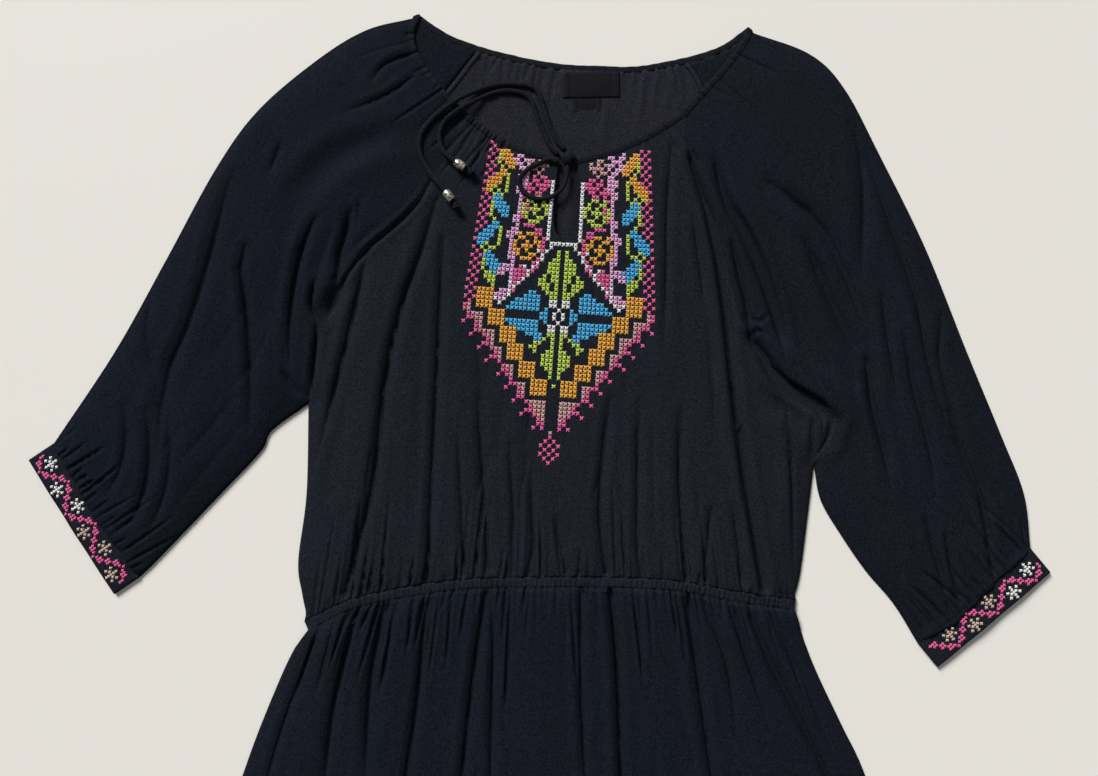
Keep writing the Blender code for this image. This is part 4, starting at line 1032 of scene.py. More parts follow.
def bead(name, place, direction, node):
    """A hammered metal barrel bead with a raised rim at each end."""
    sides = 40
    rng = np.random.default_rng(SEED["stitch"])
    angle = np.arange(sides) * 2 * math.pi / sides
    radii = np.array([r for r, _ in BEAD_PROFILE])[:, None] * np.ones(sides)
    for _ in range(BEAD_DENTS):
        at, where = rng.uniform(0, 2 * math.pi), rng.uniform(-3.2, 3.2)
        around = np.abs((angle - at + math.pi) % (2 * math.pi) - math.pi) * 4.0
        for row, (_, run) in enumerate(BEAD_PROFILE[1:-1], start=1):
            radii[row] -= 0.22 * np.exp(-(around / 1.1) ** 2 - ((run - where) / 1.0) ** 2)
    axis = Vector(direction).normalized()
    across = axis.orthogonal().normalized()
    other = axis.cross(across)
    points = []
    for row, (_, run) in enumerate(BEAD_PROFILE):
        for k in range(sides):
            offset = axis * run + (across * math.cos(angle[k]) + other * math.sin(angle[k])) * radii[row][k]
            points.append(tuple(Vector(place) + offset))
    numbers = numbered(len(BEAD_PROFILE), sides)
    numbers = np.vstack([numbers, numbers[:1]])
    piece = linked(name, points, grid_faces(numbers, wrap=True).tolist(), [LOOKS["metal"]], fix=True)
    return declare(piece, "bead_metal", node)


def knot_core(radii, stations=11, around=24):
    """Points and faces of a closed egg, its first axis along the knot."""
    u = np.linspace(0, math.pi, stations + 2)[1:-1]
    v = np.linspace(0, 2 * math.pi, around, endpoint=False)
    points = [(math.cos(a), math.sin(a) * math.cos(b), math.sin(a) * math.sin(b)) for a in u for b in v]
    points = np.array([*points, (1, 0, 0), (-1, 0, 0)]) * 0.82 * np.array(radii)
    numbers = numbered(stations, around)
    faces = grid_faces(numbers, wrap=True).tolist()
    following = np.roll(numbers, -1, axis=1)
    faces += [(numbers.size, int(b), int(a)) for a, b in zip(numbers[0], following[0])]
    faces += [(numbers.size + 1, int(a), int(b)) for a, b in zip(numbers[-1], following[-1])]
    return points, faces


def knot_wraps(batch, centre, radii, angle, wraps):
    """A core and strands that wrap over it. wraps lists (turn in degrees, offset, width)."""
    turn = turned(angle).T
    points, faces = knot_core(radii)
    batch.add(points @ turn + centre, faces)
    sweep = np.radians(np.linspace(-35, 215, 26))
    ups = np.stack([np.zeros(sweep.size), np.cos(sweep), np.sin(sweep)], axis=1)
    for degrees, offset, width in wraps:
        lean = turned(math.radians(degrees)).T
        ring = ups * np.array([1, radii[1] * 0.9, radii[2] * 0.82]) + (offset * radii[0], 0, 0)
        ends = rounded_ends(sweep.size, length_of(ring), 2.0)
        points, faces = tube(ring @ lean, ups @ lean, width * ends, 0.75 * ends, 10, 0.1)
        batch.add(points @ turn + centre, faces)


def make_ties():
    """The two tails with their beads and knots, the bow loop and the knot."""
    for side, points, bead_at in [("left", TAIL_LEFT, BEAD_LEFT_AT), ("right", TAIL_RIGHT, BEAD_RIGHT_AT)]:
        route = laid_route(points)
        near = np.linalg.norm(route[:, :2] - np.array(bead_at), axis=1).argmin()
        bead_height = route[near:, 2].max() + BEAD_RADIUS - TIE_HALF_HEIGHT
        route[:, 2] += (bead_height - route[:, 2]) * eased((np.arange(len(route)) - (near - 26)) / 20)
        direction = route[near + 4] - route[near - 4]
        direction /= np.linalg.norm(direction)
        ring = bead("barrel_" + side, route[near], direction, "bead_" + side)
        batch = Batch()
        end = route[-1] + direction * 3.6
        knot_wraps(batch, end, (4.2, 3.3, 3.1), math.atan2(direction[1], direction[0]),
                   [(25, -0.25, 1.5), (-30, 0.3, 1.4)])
        stub = np.linspace(0, 1, 6)[:, None] * direction[None] * 5.0 + end + direction * 2.0
        stub[:, 2] -= np.linspace(0, 1.2, 6)
        shape = rounded_ends(6, 5.0, 1.0)
        batch.add(*tube(stub, (0, 0, 1), 1.7 * shape, 1.2 * shape, 10))
        knot = declare(batch.build("tail_knot_" + side, [LOOKS["binding"]]), "cloth", "end_knot_" + side)
        tie("tail_" + side, route, "tie_tail_" + side)
    tie("bow_loop", laid_route(LOOP), "tie_loop")
    batch = Batch()
    x, y = KNOT_PLACE
    height = float(lay_height(np.array([x]), np.array([y]))[0]) + 4.4
    knot_wraps(batch, np.array([x, y, height]), (7.8, 6.4, 3.8), math.radians(12),
               [(12, -0.5, 2.1), (-8, 0.08, 2.3), (20, 0.55, 1.9), (75, 0.0, 1.9)])
    declare(batch.build("bow_knot", [LOOKS["binding"]]), "cloth", "tie_knot")


# Cloth panels

def on_front(places):
    """Points of the front layer for places seen from above."""
    return lifted(places, front_height(places[..., 0], places[..., 1]))


def make_front_bodice():
    """The front: one panel with the keyhole slit cut down from the neckline."""
    seam_left, seam_right = RAGLANS["left"][::-1], RAGLANS["right"][::-1]
    low_left = np.vstack([SIDES["left"][::-1], seam_left[1:RAGLAN_ROWS + 1]])
    low_right = np.vstack([SIDES["right"][::-1], seam_right[1:RAGLAN_ROWS + 1]])
    bottom = smooth(shifted(WAIST_LINE, CASING_WIDTH / 2 - 0.6), 2 * HALF_COLUMNS)
    low_left[0], low_right[0] = bottom[0], bottom[-1]
    middle = np.vstack([smooth([low_left[-1], SLIT_BOTTOM], HALF_COLUMNS),
                        smooth([SLIT_BOTTOM, low_right[-1]], HALF_COLUMNS)[1:]])
    rows, columns = len(low_left) - 1, 2 * HALF_COLUMNS
    low = patch(bottom, middle, low_left, low_right, spaced(columns), np.linspace(0, 1, rows + 1) ** 1.15)
    places = [low.reshape(-1, 2)]
    numbers = numbered(*low.shape[:2])
    faces, coarse = [grid_faces(numbers)], [coarse_faces(numbers)]
    count = numbers.size
    halves = [
        (slice(0, HALF_COLUMNS + 1), seam_left, smooth(SLIT_LEFT, SLIT_ROWS), NECK.bodice_left),
        (slice(HALF_COLUMNS, None), smooth(SLIT_RIGHT, SLIT_ROWS), seam_right, NECK.bodice_right),
    ]
    for part, left, right, top in halves:
        floor, top = low[-1, part], top.copy()
        left, right = left[-SLIT_ROWS - 1:], right[-SLIT_ROWS - 1:]
        top[0], top[-1] = left[-1], right[-1]
        upper = patch(floor, top, left, right, np.linspace(0, 1, HALF_COLUMNS + 1),
                      np.linspace(0, 1, SLIT_ROWS + 1))[1:]
        fresh = count + numbered(*upper.shape[:2])
        block = np.vstack([numbers[-1:, part], fresh])
        faces.append(grid_faces(block))
        coarse.append(coarse_faces(block))
        places.append(upper.reshape(-1, 2))
        count += fresh.size
    piece = closed_shell("bodice_front", on_front(np.vstack(places)), np.vstack(faces), LOOKS["cloth"],
                         coarse=np.vstack(coarse))
    declare(piece, "cloth", "front_bodice")


def make_front_skirt():
    """The skirt's front, gathered into the casing, with a turned hem."""
    top = smooth(shifted(WAIST_LINE, -CASING_WIDTH / 2 + 0.6), SKIRT_COLUMNS)
    left, right = SKIRT_SIDES["left"].copy(), SKIRT_SIDES["right"].copy()
    left[0], right[0] = top[0], top[-1]
    places = patch(top, HEM_LINE, left, right, spaced(SKIRT_COLUMNS, 0.1), spaced(SKIRT_ROWS, 0.45))
    points = on_front(places)
    # The turned hem is a second layer, which ends in a small step at its stitches
    depth = nearest(points[..., 0].ravel(), points[..., 1].ravel(), HEM_LINE)[0].reshape(places.shape[:2])
    points[..., 2] += HEM_THICK / (1 + np.exp((depth - HEM_DEPTH) / 0.8)) * np.minimum(1, depth / 3)
    numbers = numbered(*points.shape[:2])
    piece = closed_shell("skirt_front", points.reshape(-1, 3), grid_faces(numbers), LOOKS["skirt"], flip=True,
                         coarse=coarse_faces(numbers))
    declare(piece, "cloth", "front_skirt")


def flat_back(name, places, node):
    """A back panel: flat below, with folds on the inside that shows."""
    inner = lifted(places, back_height(places[..., 0], places[..., 1])).reshape(-1, 3)
    faces = grid_faces(numbered(*places.shape[:2]))[:, ::-1]
    piece = closed_shell(name, lifted(places, 0.0).reshape(-1, 3), faces, LOOKS["inside"], inner=inner)
    declare(piece, "cloth", node)


def make_backs():
    """The back bodice and the back skirt, a little narrower than the front so that it covers them."""
    left = np.vstack([shifted(SIDES["left"][::-1], -INSET), BACK_RAGLANS["left"][::-1][1:]])
    right = np.vstack([shifted(SIDES["right"][::-1], INSET), BACK_RAGLANS["right"][::-1][1:]])
    bottom = shifted(WAIST_LINE, CASING_WIDTH / 2)
    left[0], right[0] = bottom[0] + (INSET, 0), bottom[-1] - (INSET, 0)
    bottom[0], bottom[-1] = left[0], right[0]
    top = NECK.bodice_back.copy()
    top[0], top[-1] = left[-1], right[-1]
    rows = np.concatenate([np.linspace(0, 0.62, 24)[:-1], np.linspace(0.62, 1, 62)])
    flat_back("bodice_back", patch(bottom, top, left, right, spaced(130), rows), "back_bodice")
    left, right = shifted(SKIRT_SIDES["left"], INSET), shifted(SKIRT_SIDES["right"], -INSET)
    top, hem = shifted(WAIST_LINE, -CASING_WIDTH / 2), shifted(HEM_LINE, INSET)
    for side, k, inwards in ((left, 0, (INSET, 0)), (right, -1, (-INSET, 0))):
        side[0], side[-1] = top[k] + inwards, hem[k] + inwards
        top[k], hem[k] = side[0], side[-1]
    flat_back("skirt_back", patch(top, hem, left, right, spaced(40), spaced(24))[::-1], "back_skirt")


def hang_over_cuff(side, points):
    """Moves the end of a sleeve's front outwards, so that its gathers hang unevenly over the cuff."""
    start, run, out, span = cuff_frame(side)
    from_start = points[..., :2] - start
    depth = from_start @ out
    share = np.clip(from_start @ run / span, 0, 1)
    reach = 3.6 + 0.9 * np.sin(13 * share + 1) + 0.6 * np.sin(37 * share)
    if side == "right":
        # One larger lobe near the underarm
        reach += 5.5 * np.exp(-((share - 0.74) / 0.13) ** 2)
    reach *= np.sin(math.pi * share) ** 0.5
    moved = reach * eased((depth + 18) / 18)
    ripple = np.clip(total_folds(points[..., 0].ravel(), points[..., 1].ravel(), ALL_FOLDS), -2.2, 1.5)
    points[..., :2] += out * moved[..., None]
    to_edge = np.clip((reach - depth - moved) / 2.6, 0, 1)
    lip = np.sqrt(1 - (1 - to_edge) ** 2) * np.minimum(1, reach / 2.5)
    over = cuff_height(side, points[..., 0], points[..., 1]) + 0.15
    over += lip * (2.3 + 0.5 * ripple.reshape(depth.shape))
    near = np.clip((depth + moved + 9) / 9, 0, 1) * np.minimum(1, 12 * np.minimum(share, 1 - share))
    points[..., 2] += (over - points[..., 2]) * eased(near)


def make_sleeve(side):
    """A raglan sleeve: one wall from the back seam, round its outer fold and in along the front."""
    turn = 1 if side == "left" else -1
    seams = {}
    for name, seam in (("front", RAGLANS[side]), ("back", BACK_RAGLANS[side])):
        lower = UNDERARMS[side] if name == "front" else shifted(UNDERARMS[side], -turn * INSET)
        lower[0] = seam[-1]
        seams[name] = np.vstack([smooth(seam, SLEEVE_NECK_ROWS),
                                 smooth(lower, SLEEVE_ROWS - SLEEVE_NECK_ROWS)[1:]])
    # Rows stand closer together beside the cuff, where the cloth turns down over it
    rows = np.concatenate([np.linspace(0, 0.955, SLEEVE_ROWS - 23), np.linspace(0.955, 1, 25)[1:]])
    seams = {name: along(seam, rows) for name, seam in seams.items()}
    fold = along(smooth(OUTER_FOLDS[side], SLEEVE_ROWS), rows)
    outward = -normals(fold) * turn
    centre = fold - outward * FOLD_RADIUS
    neck_front, neck_back = NECK.sleeve_front[side], NECK.sleeve_back[side]
    centre[0] = neck_front[0]
    near_neck = np.maximum(0.0, 1 - 3 * rows[:, None, None]) ** 2

    def flap(start, end, neck, t):
        chord = (1 - t)[None, :, None] * start[:, None] + t[None, :, None] * end[:, None]
        bulge = along(neck, t) - ((1 - t)[:, None] * neck[0] + t[:, None] * neck[-1])
        return chord + bulge[None] * near_neck

    t_back = np.linspace(0, 1, SLEEVE_BACK_COLUMNS + 1)[:-1]
    t_front = spaced(SLEEVE_FRONT_COLUMNS, 0.25)
    back = flap(seams["back"], centre, neck_back, t_back)
    front = flap(centre, seams["front"], neck_front, t_front)
    angle = np.radians(ROLL_ANGLES)
    rolls = []
    for reach in (FOLD_RADIUS, FOLD_RADIUS - SHELL):
        level = centre[:, None] + outward[:, None] * (np.cos(angle) * reach)[None, :, None]
        rolls.append(lifted(level, FOLD_RADIUS + np.sin(angle) * reach))
    front_outer = on_front(front)
    # The flap starts at the top of the roll and rises from there
    ease = np.clip(nearest(front[..., 0].ravel(), front[..., 1].ravel(), OUTER_FOLDS[side])[0] / 6, 0, 1)
    ease = ease.reshape(front.shape[:2])
    front_outer[..., 2] = FRONT_EDGE * (1 - ease) + front_outer[..., 2] * ease
    hang_over_cuff(side, front_outer)
    grid = np.concatenate([lifted(back, 0.0), rolls[0], front_outer], axis=1)
    numbers = numbered(*grid.shape[:2])
    faces = grid_faces(numbers)
    # The inner layer keeps every column of the back and of the roll
    first_front, last = SLEEVE_BACK_COLUMNS + len(angle), grid.shape[1] - 1
    kept = np.unique([*range(first_front), *range(first_front, last + 1, COARSE_STEP[1]), last])
    coarse = grid_faces(numbers[::COARSE_STEP[0]][:, kept])
    if turn == 1:
        faces, coarse = faces[:, ::-1], coarse[:, ::-1]
    flat = grid.reshape(-1, 3)
    inner = flat - point_normals(flat, faces) * SHELL
    inner = inner.reshape(grid.shape)
    inner[:, :SLEEVE_BACK_COLUMNS] = lifted(back, back_height(back[..., 0], back[..., 1]) - 0.1)
    inner[:, SLEEVE_BACK_COLUMNS:first_front] = rolls[1]
    piece = closed_shell("sleeve_cloth_" + side, flat, faces, LOOKS["sleeve_" + side],
                         inner=inner.reshape(-1, 3), coarse=coarse)
    declare(piece, "cloth", "sleeve_" + side)


def make_casing():
    """The elastic casing: a ruched strip in front and a flat one behind."""
    rng = np.random.default_rng(SEED["casing"])
    line = smooth(WAIST, CASING_COLUMNS)
    run = np.linspace(0, length_of(line), CASING_COLUMNS + 1)
    ripple = np.zeros(CASING_COLUMNS + 1)
    place = 1.5
    while place < run[-1]:
        ripple += rng.uniform(0.4, 1.0) * np.exp(-((run - place) / rng.uniform(0.9, 1.6)) ** 2)
        place += rng.uniform(3.0, 5.4)
    offsets = np.linspace(-CASING_WIDTH / 2, CASING_WIDTH / 2, CASING_ROWS + 1)
    places = line[None] + normals(line)[None] * offsets[:, None, None]
    edge = np.minimum(run, run[-1] - run)
    base = front_height(places[..., 0], places[..., 1])
    # The strip rises and falls more gently along the waist than the folds that it gathers
    span = 20
    even = np.full(2 * span + 1, 1 / (2 * span + 1))
    padded = np.pad(base, ((0, 0), (span, span)), mode="edge")
    gentle = np.array([np.convolve(row, even, "valid") for row in padded])
    base = base + 0.75 * (gentle - base) * np.minimum(1, edge / 12)
    swell = 1 - np.abs(offsets / (CASING_WIDTH / 2)) ** 4
    height = base - 0.25 + swell[:, None] * (0.7 + ripple[None]) * np.minimum(1, edge / 6)[None]
    numbers = numbered(*height.shape)
    piece = closed_shell("casing_front", lifted(places, height).reshape(-1, 3), grid_faces(numbers),
                         LOOKS["cloth"], coarse=coarse_faces(numbers))
    declare(piece, "cloth", "waist_casing_front")
    line = smooth(WAIST, 80)
    low = line[None] + normals(line)[None] * np.linspace(-4.3, 4.3, 3)[:, None, None]
    low[:, 0] += (INSET, 0)
    low[:, -1] -= (INSET, 0)
    flat_back("casing_back", low, "waist_casing_back")


def cuff_frame(side):
    """A cuff's corner at its outer fold, its two directions in the plane, and its span."""
    start, end = OUTER_FOLDS[side][-1], UNDERARMS[side][-1]
    span = np.linalg.norm(end - start)
    run = (end - start) / span
    out = np.array([run[1], -run[0]]) if side == "left" else np.array([-run[1], run[0]])
    return start, run, out, span


def cuff_height(side, x, y):
    """Top of a cuff at points seen from above."""
    start, run, out, span = cuff_frame(side)
    place = (x - start[0]) * run[0] + (y - start[1]) * run[1]
    depth = (x - start[0]) * out[0] + (y - start[1]) * out[1]
    bulge = np.sin(math.pi * np.clip(place / span, 0, 1))
    height = 2 * CUFF_HALF + CUFF_PUFF * bulge ** 0.7
    height += 0.35 * np.sin(place / 7.0 + depth / 9.0) * bulge
    # A shallow dip beside each edge
    height -= 0.5 * np.exp(-((depth - 1.6) / 0.9) ** 2)
    return height - 0.3 * np.exp(-((depth - CUFF_WIDTH + 2.0) / 0.9) ** 2)


def make_cuff(side):
    """A cuff: a flattened ring of folded cloth with rounded ends."""
    start, run, out, span = cuff_frame(side)
    places = CUFF_HALF + (span - 2 * CUFF_HALF) * np.linspace(0, 1, CUFF_COLUMNS + 1)
    ends = np.radians(np.linspace(-90, 90, 9))[1:-1]
    outer, inner = [], []

    def ring(base, low, high, reach):
        """One row of points round the cuff: underside, far end, top and near end."""
        across, rise = np.cos(ends) * reach, np.sin(ends) * reach
        place = np.concatenate([places, span - CUFF_HALF + across, places[::-1], CUFF_HALF - across])
        height = np.concatenate([np.full(len(places), low), CUFF_HALF + rise, high[::-1], CUFF_HALF - rise])
        return lifted(base + run * place[:, None], height)

    for offset in np.linspace(GAP, GAP + CUFF_WIDTH, CUFF_ROWS + 1):
        base = start + out * offset
        top = cuff_height(side, *(base[:, None] + run[:, None] * places[None]))
        # The top turns down at the open edge
        top = top - max(0, 0.35 * math.cos(math.pi * min(1, (GAP + CUFF_WIDTH - offset) / 2.5)))
        outer.append(ring(base, 0.0, top, CUFF_HALF))
        inner.append(ring(base, CUFF_WALL, top - CUFF_WALL, CUFF_HOLLOW / 2))
    faces = grid_faces(numbered(len(outer), len(outer[0])), wrap=True)
    if side == "right":
        faces = faces[:, ::-1]
    piece = closed_shell("cuff_cloth_" + side, np.array(outer).reshape(-1, 3), faces, LOOKS["cloth"],
                         inner=np.array(inner).reshape(-1, 3))
    declare(piece, "cloth", "cuff_" + side)


def make_binding():
    """The neck binding: a rounded bias strip, puckered along its stitches and folded at each shoulder."""
    rng = np.random.default_rng(SEED["neck"])
    sections = []

    def lay(line, side, up):
        heights = front_height(line[:, 0], line[:, 1]) + 0.1 if up > 0 else np.full(len(line), 1.05)
        for point, across, height in zip(line, normals(line) * side, heights):
            sections.append((np.array([*point, height]), np.array([*across, 0]), np.array([0, 0, up])))

    def turn_over(point, crease, first_up, front_level):
        low = 1.0
        high = max(front_level, low + 1.6)
        middle, radius = (high + low) / 2, (high - low) / 2
        out = np.array([-crease[1], crease[0]])
        if out[1] < 0:
            out = -out
        angles = (64, 38, 13, -13, -38, -64)
        for angle in angles if first_up > 0 else angles[::-1]:
            c, s = math.cos(math.radians(angle)), math.sin(math.radians(angle))
            place = np.array([*(point + out * c * min(radius, 1.1)), middle + s * radius])
            sections.append((place, np.array([*crease, 0]), np.array([*(out * c), s])))

    left, right = smooth(NECK.left, BINDING_FRONT_STEPS), smooth(NECK.right, BINDING_FRONT_STEPS)
    level_left = float(front_height(*NECK.left[-1])[0])
    level_right = float(front_height(*NECK.right[-1])[0])
    lay(left[:-2], -1, 1)
    turn_over(NECK.left[-1], NECK.crease_left, 1, level_left)
    lay(smooth(NECK.back, BINDING_BACK_STEPS)[2:-2], 1, -1)
    turn_over(NECK.right[-1], NECK.crease_right, -1, level_right)
    lay(right[::-1][2:], -1, 1)
    count = len(sections)
    knots = np.arange(0, count + 4, 4)
    pucker = np.interp(np.arange(count), knots, rng.normal(0, 1, len(knots)))
    angle = np.arange(BINDING_SIDES) * 2 * math.pi / BINDING_SIDES
    flatness = np.sign(np.cos(angle)) * np.abs(np.cos(angle)) ** 0.75
    thickness = np.sign(np.sin(angle)) * np.abs(np.sin(angle)) ** 0.85
    groove = 0.26 * np.exp(-((flatness + 0.62) / 0.16) ** 2) * (thickness > 0)
    points = []
    for k, (place, across, up) in enumerate(sections):
        wide = BINDING_WIDTH / 2 * (1 + 0.05 * pucker[k])
        thick = BINDING_THICK / 2 * (1 + 0.14 * pucker[(k + 2) % count])
        ring = place + across * (flatness * wide)[:, None] + up * ((thickness - groove) * thick)[:, None]
        points.append(ring)
    points = np.vstack(points)
    points[:, 2] = np.maximum(points[:, 2], 0.0)
    numbers = numbered(count, BINDING_SIDES)
    faces = grid_faces(numbers, wrap=True).tolist() + [numbers[0].tolist(), numbers[-1].tolist()]
    piece = linked("binding_strip", points, faces, [LOOKS["binding"]], fix=True)
    declare(piece, "cloth", "neck_binding")


def rounded_plate(name, size, place, node):
    """A woven label with folded short ends and soft corners, slightly bowed."""
    wide, tall, thick = size
    u, v = np.meshgrid(spaced(40, 0.4), spaced(18, 0.4))
    x, y = (u - 0.5) * wide, (v - 0.5) * tall
    edge = np.minimum(np.minimum(u, 1 - u) * wide, np.minimum(v, 1 - v) * tall)
    top = place[2] + thick * np.sqrt(1 - (1 - np.clip(edge / 0.6, 0, 1)) ** 2)
    top += 0.25 * np.sin(u * math.pi) * np.sin(v * math.pi)
    top += 0.18 * (np.minimum(u, 1 - u) * wide < 5.0) * np.clip(edge / 0.6, 0, 1)
    spots = np.stack([x, y], axis=2) @ turned(LABEL_TURN)[:2, :2].T + place[:2]
    inner = lifted(spots, np.minimum(place[2], top - 0.02)).reshape(-1, 3)
    piece = closed_shell(name, lifted(spots, top).reshape(-1, 3), grid_faces(numbered(*u.shape)),
                         LOOKS["satin"], inner=inner)
    return declare(piece, "label_satin", node)


# Sewing

def stitch_row(batch, line, surface, pitch=2.9, half_length=0.95, height=0.32):
    """A row of machine stitches along a line seen from above."""
    count = int(length_of(line) / pitch)
    at = smooth(line, 2 * count)
    centres, run = at[1::2], at[2::2] - at[:-1:2]
    angles = np.arctan2(run[:, 1], run[:, 0])
    bars(batch, centres, angles, half_length, 0.26, height, 0.05, surface)


def make_sewing():
    """Stitches along the binding, the casing, the hem, the cuffs and the label."""
    batch = Batch()
    stitch_row(batch, shifted(WAIST_LINE, -CASING_WIDTH / 2)[1:-1], front_height, height=0.24)
    for line in (shifted(NECK.left, 2.0), shifted(NECK.right, -2.0)):
        stitch_row(batch, line[2:-4], lambda x, y: front_height(x, y) + 0.72)
    stitch_row(batch, shifted(smooth(NECK.back, 60), -2.0)[3:-3], lambda x, y: np.full(x.shape, 1.95))
    hem = shifted(HEM_LINE, HEM_DEPTH)
    stitch_row(batch, smooth(hem, 60)[2:-2], lambda x, y: front_height(x, y) + 0.3)
    for side in ("left", "right"):
        start, run, out, span = cuff_frame(side)
        edge = start + out * (CUFF_WIDTH - 1.8)
        line = np.array([edge + run * 4, edge + run * (span - 4)])
        stitch_row(batch, line, lambda x, y, s=side: cuff_height(s, x, y))
    wide, tall, thick = LABEL_SIZE
    label_top = LABEL_PLACE[2] + thick + 0.2
    for end in (-1, 1):
        x = LABEL_PLACE[0] + end * (wide / 2 - 1.6)
        line = np.array([(x, LABEL_PLACE[1] - tall / 2 + 1.5), (x, LABEL_PLACE[1] + tall / 2 - 1.5)])
        stitch_row(batch, line, lambda x, y: np.full(x.shape, label_top), pitch=2.2, half_length=0.8)
    declare(batch.build("machine_stitches", [LOOKS["sewing"]]), "cloth")


def make_inside_seams():
    """The overlocked edges of the back raglan seams, which show inside the neck."""
    batch = Batch()
    for side, width in (("left", 5.0), ("right", -5.0)):
        seam = smooth(BACK_RAGLANS[side][:30], 40)
        rows = []
        for offset, height in ((0.0, 0.0), (0.12, 0.7), (0.5, 0.95), (0.88, 0.85), (1.0, 0.0)):
            line = shifted(seam, width * offset)
            level = back_height(line[:, 0], line[:, 1]) + height * 0.9
            rows.append(np.column_stack([line, level]))
        numbers = numbered(len(rows), len(seam))
        faces = grid_faces(np.vstack([numbers, numbers[:1]])).tolist()
        batch.add(np.vstack(rows), faces + [numbers[:, 0].tolist(), numbers[:, -1].tolist()])
        at = smooth(shifted(seam, width * 0.8), 60)
        angles = np.arctan2(*(normals(at)[:, ::-1]).T) + np.where(np.arange(61) % 2, 0.5, -0.5)
        bars(batch, at, angles, 1.3, 0.22, 0.3, 0.05, lambda x, y: back_height(x, y) + 0.75)
    declare(batch.build("inside_seams", [LOOKS["inside"]], fix=True), "cloth")


# Cross-stitch: the bib's grid stands on its tip and gets narrower towards the neck

ROW_PITCH = 3.8
STITCH_WIDE = 3.4
BIB_TIP = np.array([10.0, -17.0])
BIB_UP = np.array([0.071, 0.9975])
BIB_RIGHT = np.array([0.9975, -0.071])
BIB_WIDE, BIB_NARROW = 3.85, 3.25
BIB_TAPER_FROM, BIB_TOP = 150.0, 294.0

# Small motifs, the top row first
ROSETTE = ("..XX.X.", ".X..XX.", "XX.X..X", "X.XXX.X", "X..X.XX", ".XX..X.", "..XXX..")
BUD = (".XX.X", "XX.XX", "XXXX.", ".XX.X", "..XX.")
LEAF = ("...XX", "..XXX", ".XXX.", "XXXX.", "XXX..", "XX...")
DOT = ("XX.", "XXX", ".XX")
DIAMOND = (".X.", "X.X", ".X.")
CLUSTER = (".XX.X", "XX.XX", ".XXX.", "XX.XX", "X.XX.", ".XX..")
SPRIG = ("X.X.X", ".XXX.", "X.X.X", "XXXX.", ".X.XX", "..X..")
LEAF_UP = ("X....", "X....", "XX...", "XXX..", "XXX..", "XXX..", "XX.X.", "XX.XX", "X.XXX", "X.XX.", "XXX..",
           "XX...")
LEAF_DOWN = ("XX....", "X.XX..", "X..XX.", "X...XX", "XX..X.", "XXX...", "XXX...", "XXX...", "XX....",
             "X.....", "X.....")
PETALS = ("...XX.....", "..XXXX....", "..XXXXXX..", "..XXXXXXX.", "X.XXXXXXXX", "XX........", "XX........",
          "X.XXXXXXXX", "..XXXXXXX.", "..XXXXX...", ".XXXX.....", ".XX.......")
CENTRE = ("XX.XX", "XX.XX", "..X..", ".X.X.", ".X.X.", "..X..", "XX.XX", "XX.XX")
STAR = ("..X..", "X.X.X", ".XXX.", "X.X.X", "..X..")

# The stair and the pink line of the bib's point, in columns and rows
STEPS = 6
STEP_ACROSS, STEP_DOWN = 2.8, 4.1
STEP_TOP = (19, 40)
POINT_SLOPE, POINT_ROW, POINT_LAST = 0.74, 8, 36


class Chart:
    """Stitches on a grid: a colour for each (column, row)."""

    def __init__(self):
        self.cells = {}

    def put(self, column, row, colour):
        """One stitch."""
        self.cells[(int(round(column)), int(round(row)))] = colour

    def motif(self, rows, column, row, colour, side=1):
        """A small motif from its top left stitch, turned over where side is -1."""
        for down, text in enumerate(rows):
            for across, mark in enumerate(text):
                if mark == "X":
                    self.put(side * (column + across), row - down, colour)

    def line(self, points, colour, side=1, double=False):
        """Stitches along a run of straight stretches, every other one doubled if asked."""
        for (c0, r0), (c1, r1) in zip(points, points[1:]):
            count = int(max(abs(c1 - c0), abs(r1 - r0)))
            for k in range(count + 1):
                c, r = c0 + (c1 - c0) * k / count, r0 + (r1 - r0) * k / count
                self.put(side * c, r, colour)
                if double and k % 2 == 0:
                    self.put(side * (round(c) + 1), r, colour)


def border(chart, side):
    """The outer border: a lattice down the side and a picot edge along the point."""
    for row in range(37, 77):
        for column in (20, 21, 22):
            if (column + row) % 2 == 0:
                chart.put(side * column, row, "pink")
    for row in range(POINT_ROW, POINT_LAST + 1):
        edge = point_edge(row)
        chart.put(side * edge, row, "pink")
        if row % 3 == 0 and row < POINT_LAST - 1:
            chart.put(side * (edge + 1), row, "pink")
            chart.put(side * (edge + 2), row - 1, "pink")


def point_edge(row):
    """The column of the pink line along the point."""
    return round(POINT_SLOPE * (row - POINT_ROW) + 1.7)


def stair_edge(row):
    """The outermost orange column of the stair in a row, or 0 below the stair."""
    step = int((STEP_TOP[1] - row) / STEP_DOWN)
    return round(STEP_TOP[0] - STEP_ACROSS * step) if step < STEPS else 0


def steps(chart, side):
    """An orange stair down each side of the point, and dusty blocks between it and the pink line."""
    for row in range(POINT_ROW + 1, STEP_TOP[1] + 1):
        outer = stair_edge(row)
        if outer:
            for column in range(max(2, outer - 3), outer + 1):
                chart.put(side * column, row, "orange")
        if row <= POINT_LAST:
            for column in range(max(outer, stair_edge(row + 1)) + 2, point_edge(row)):
                chart.put(side * column, row, "dusty")


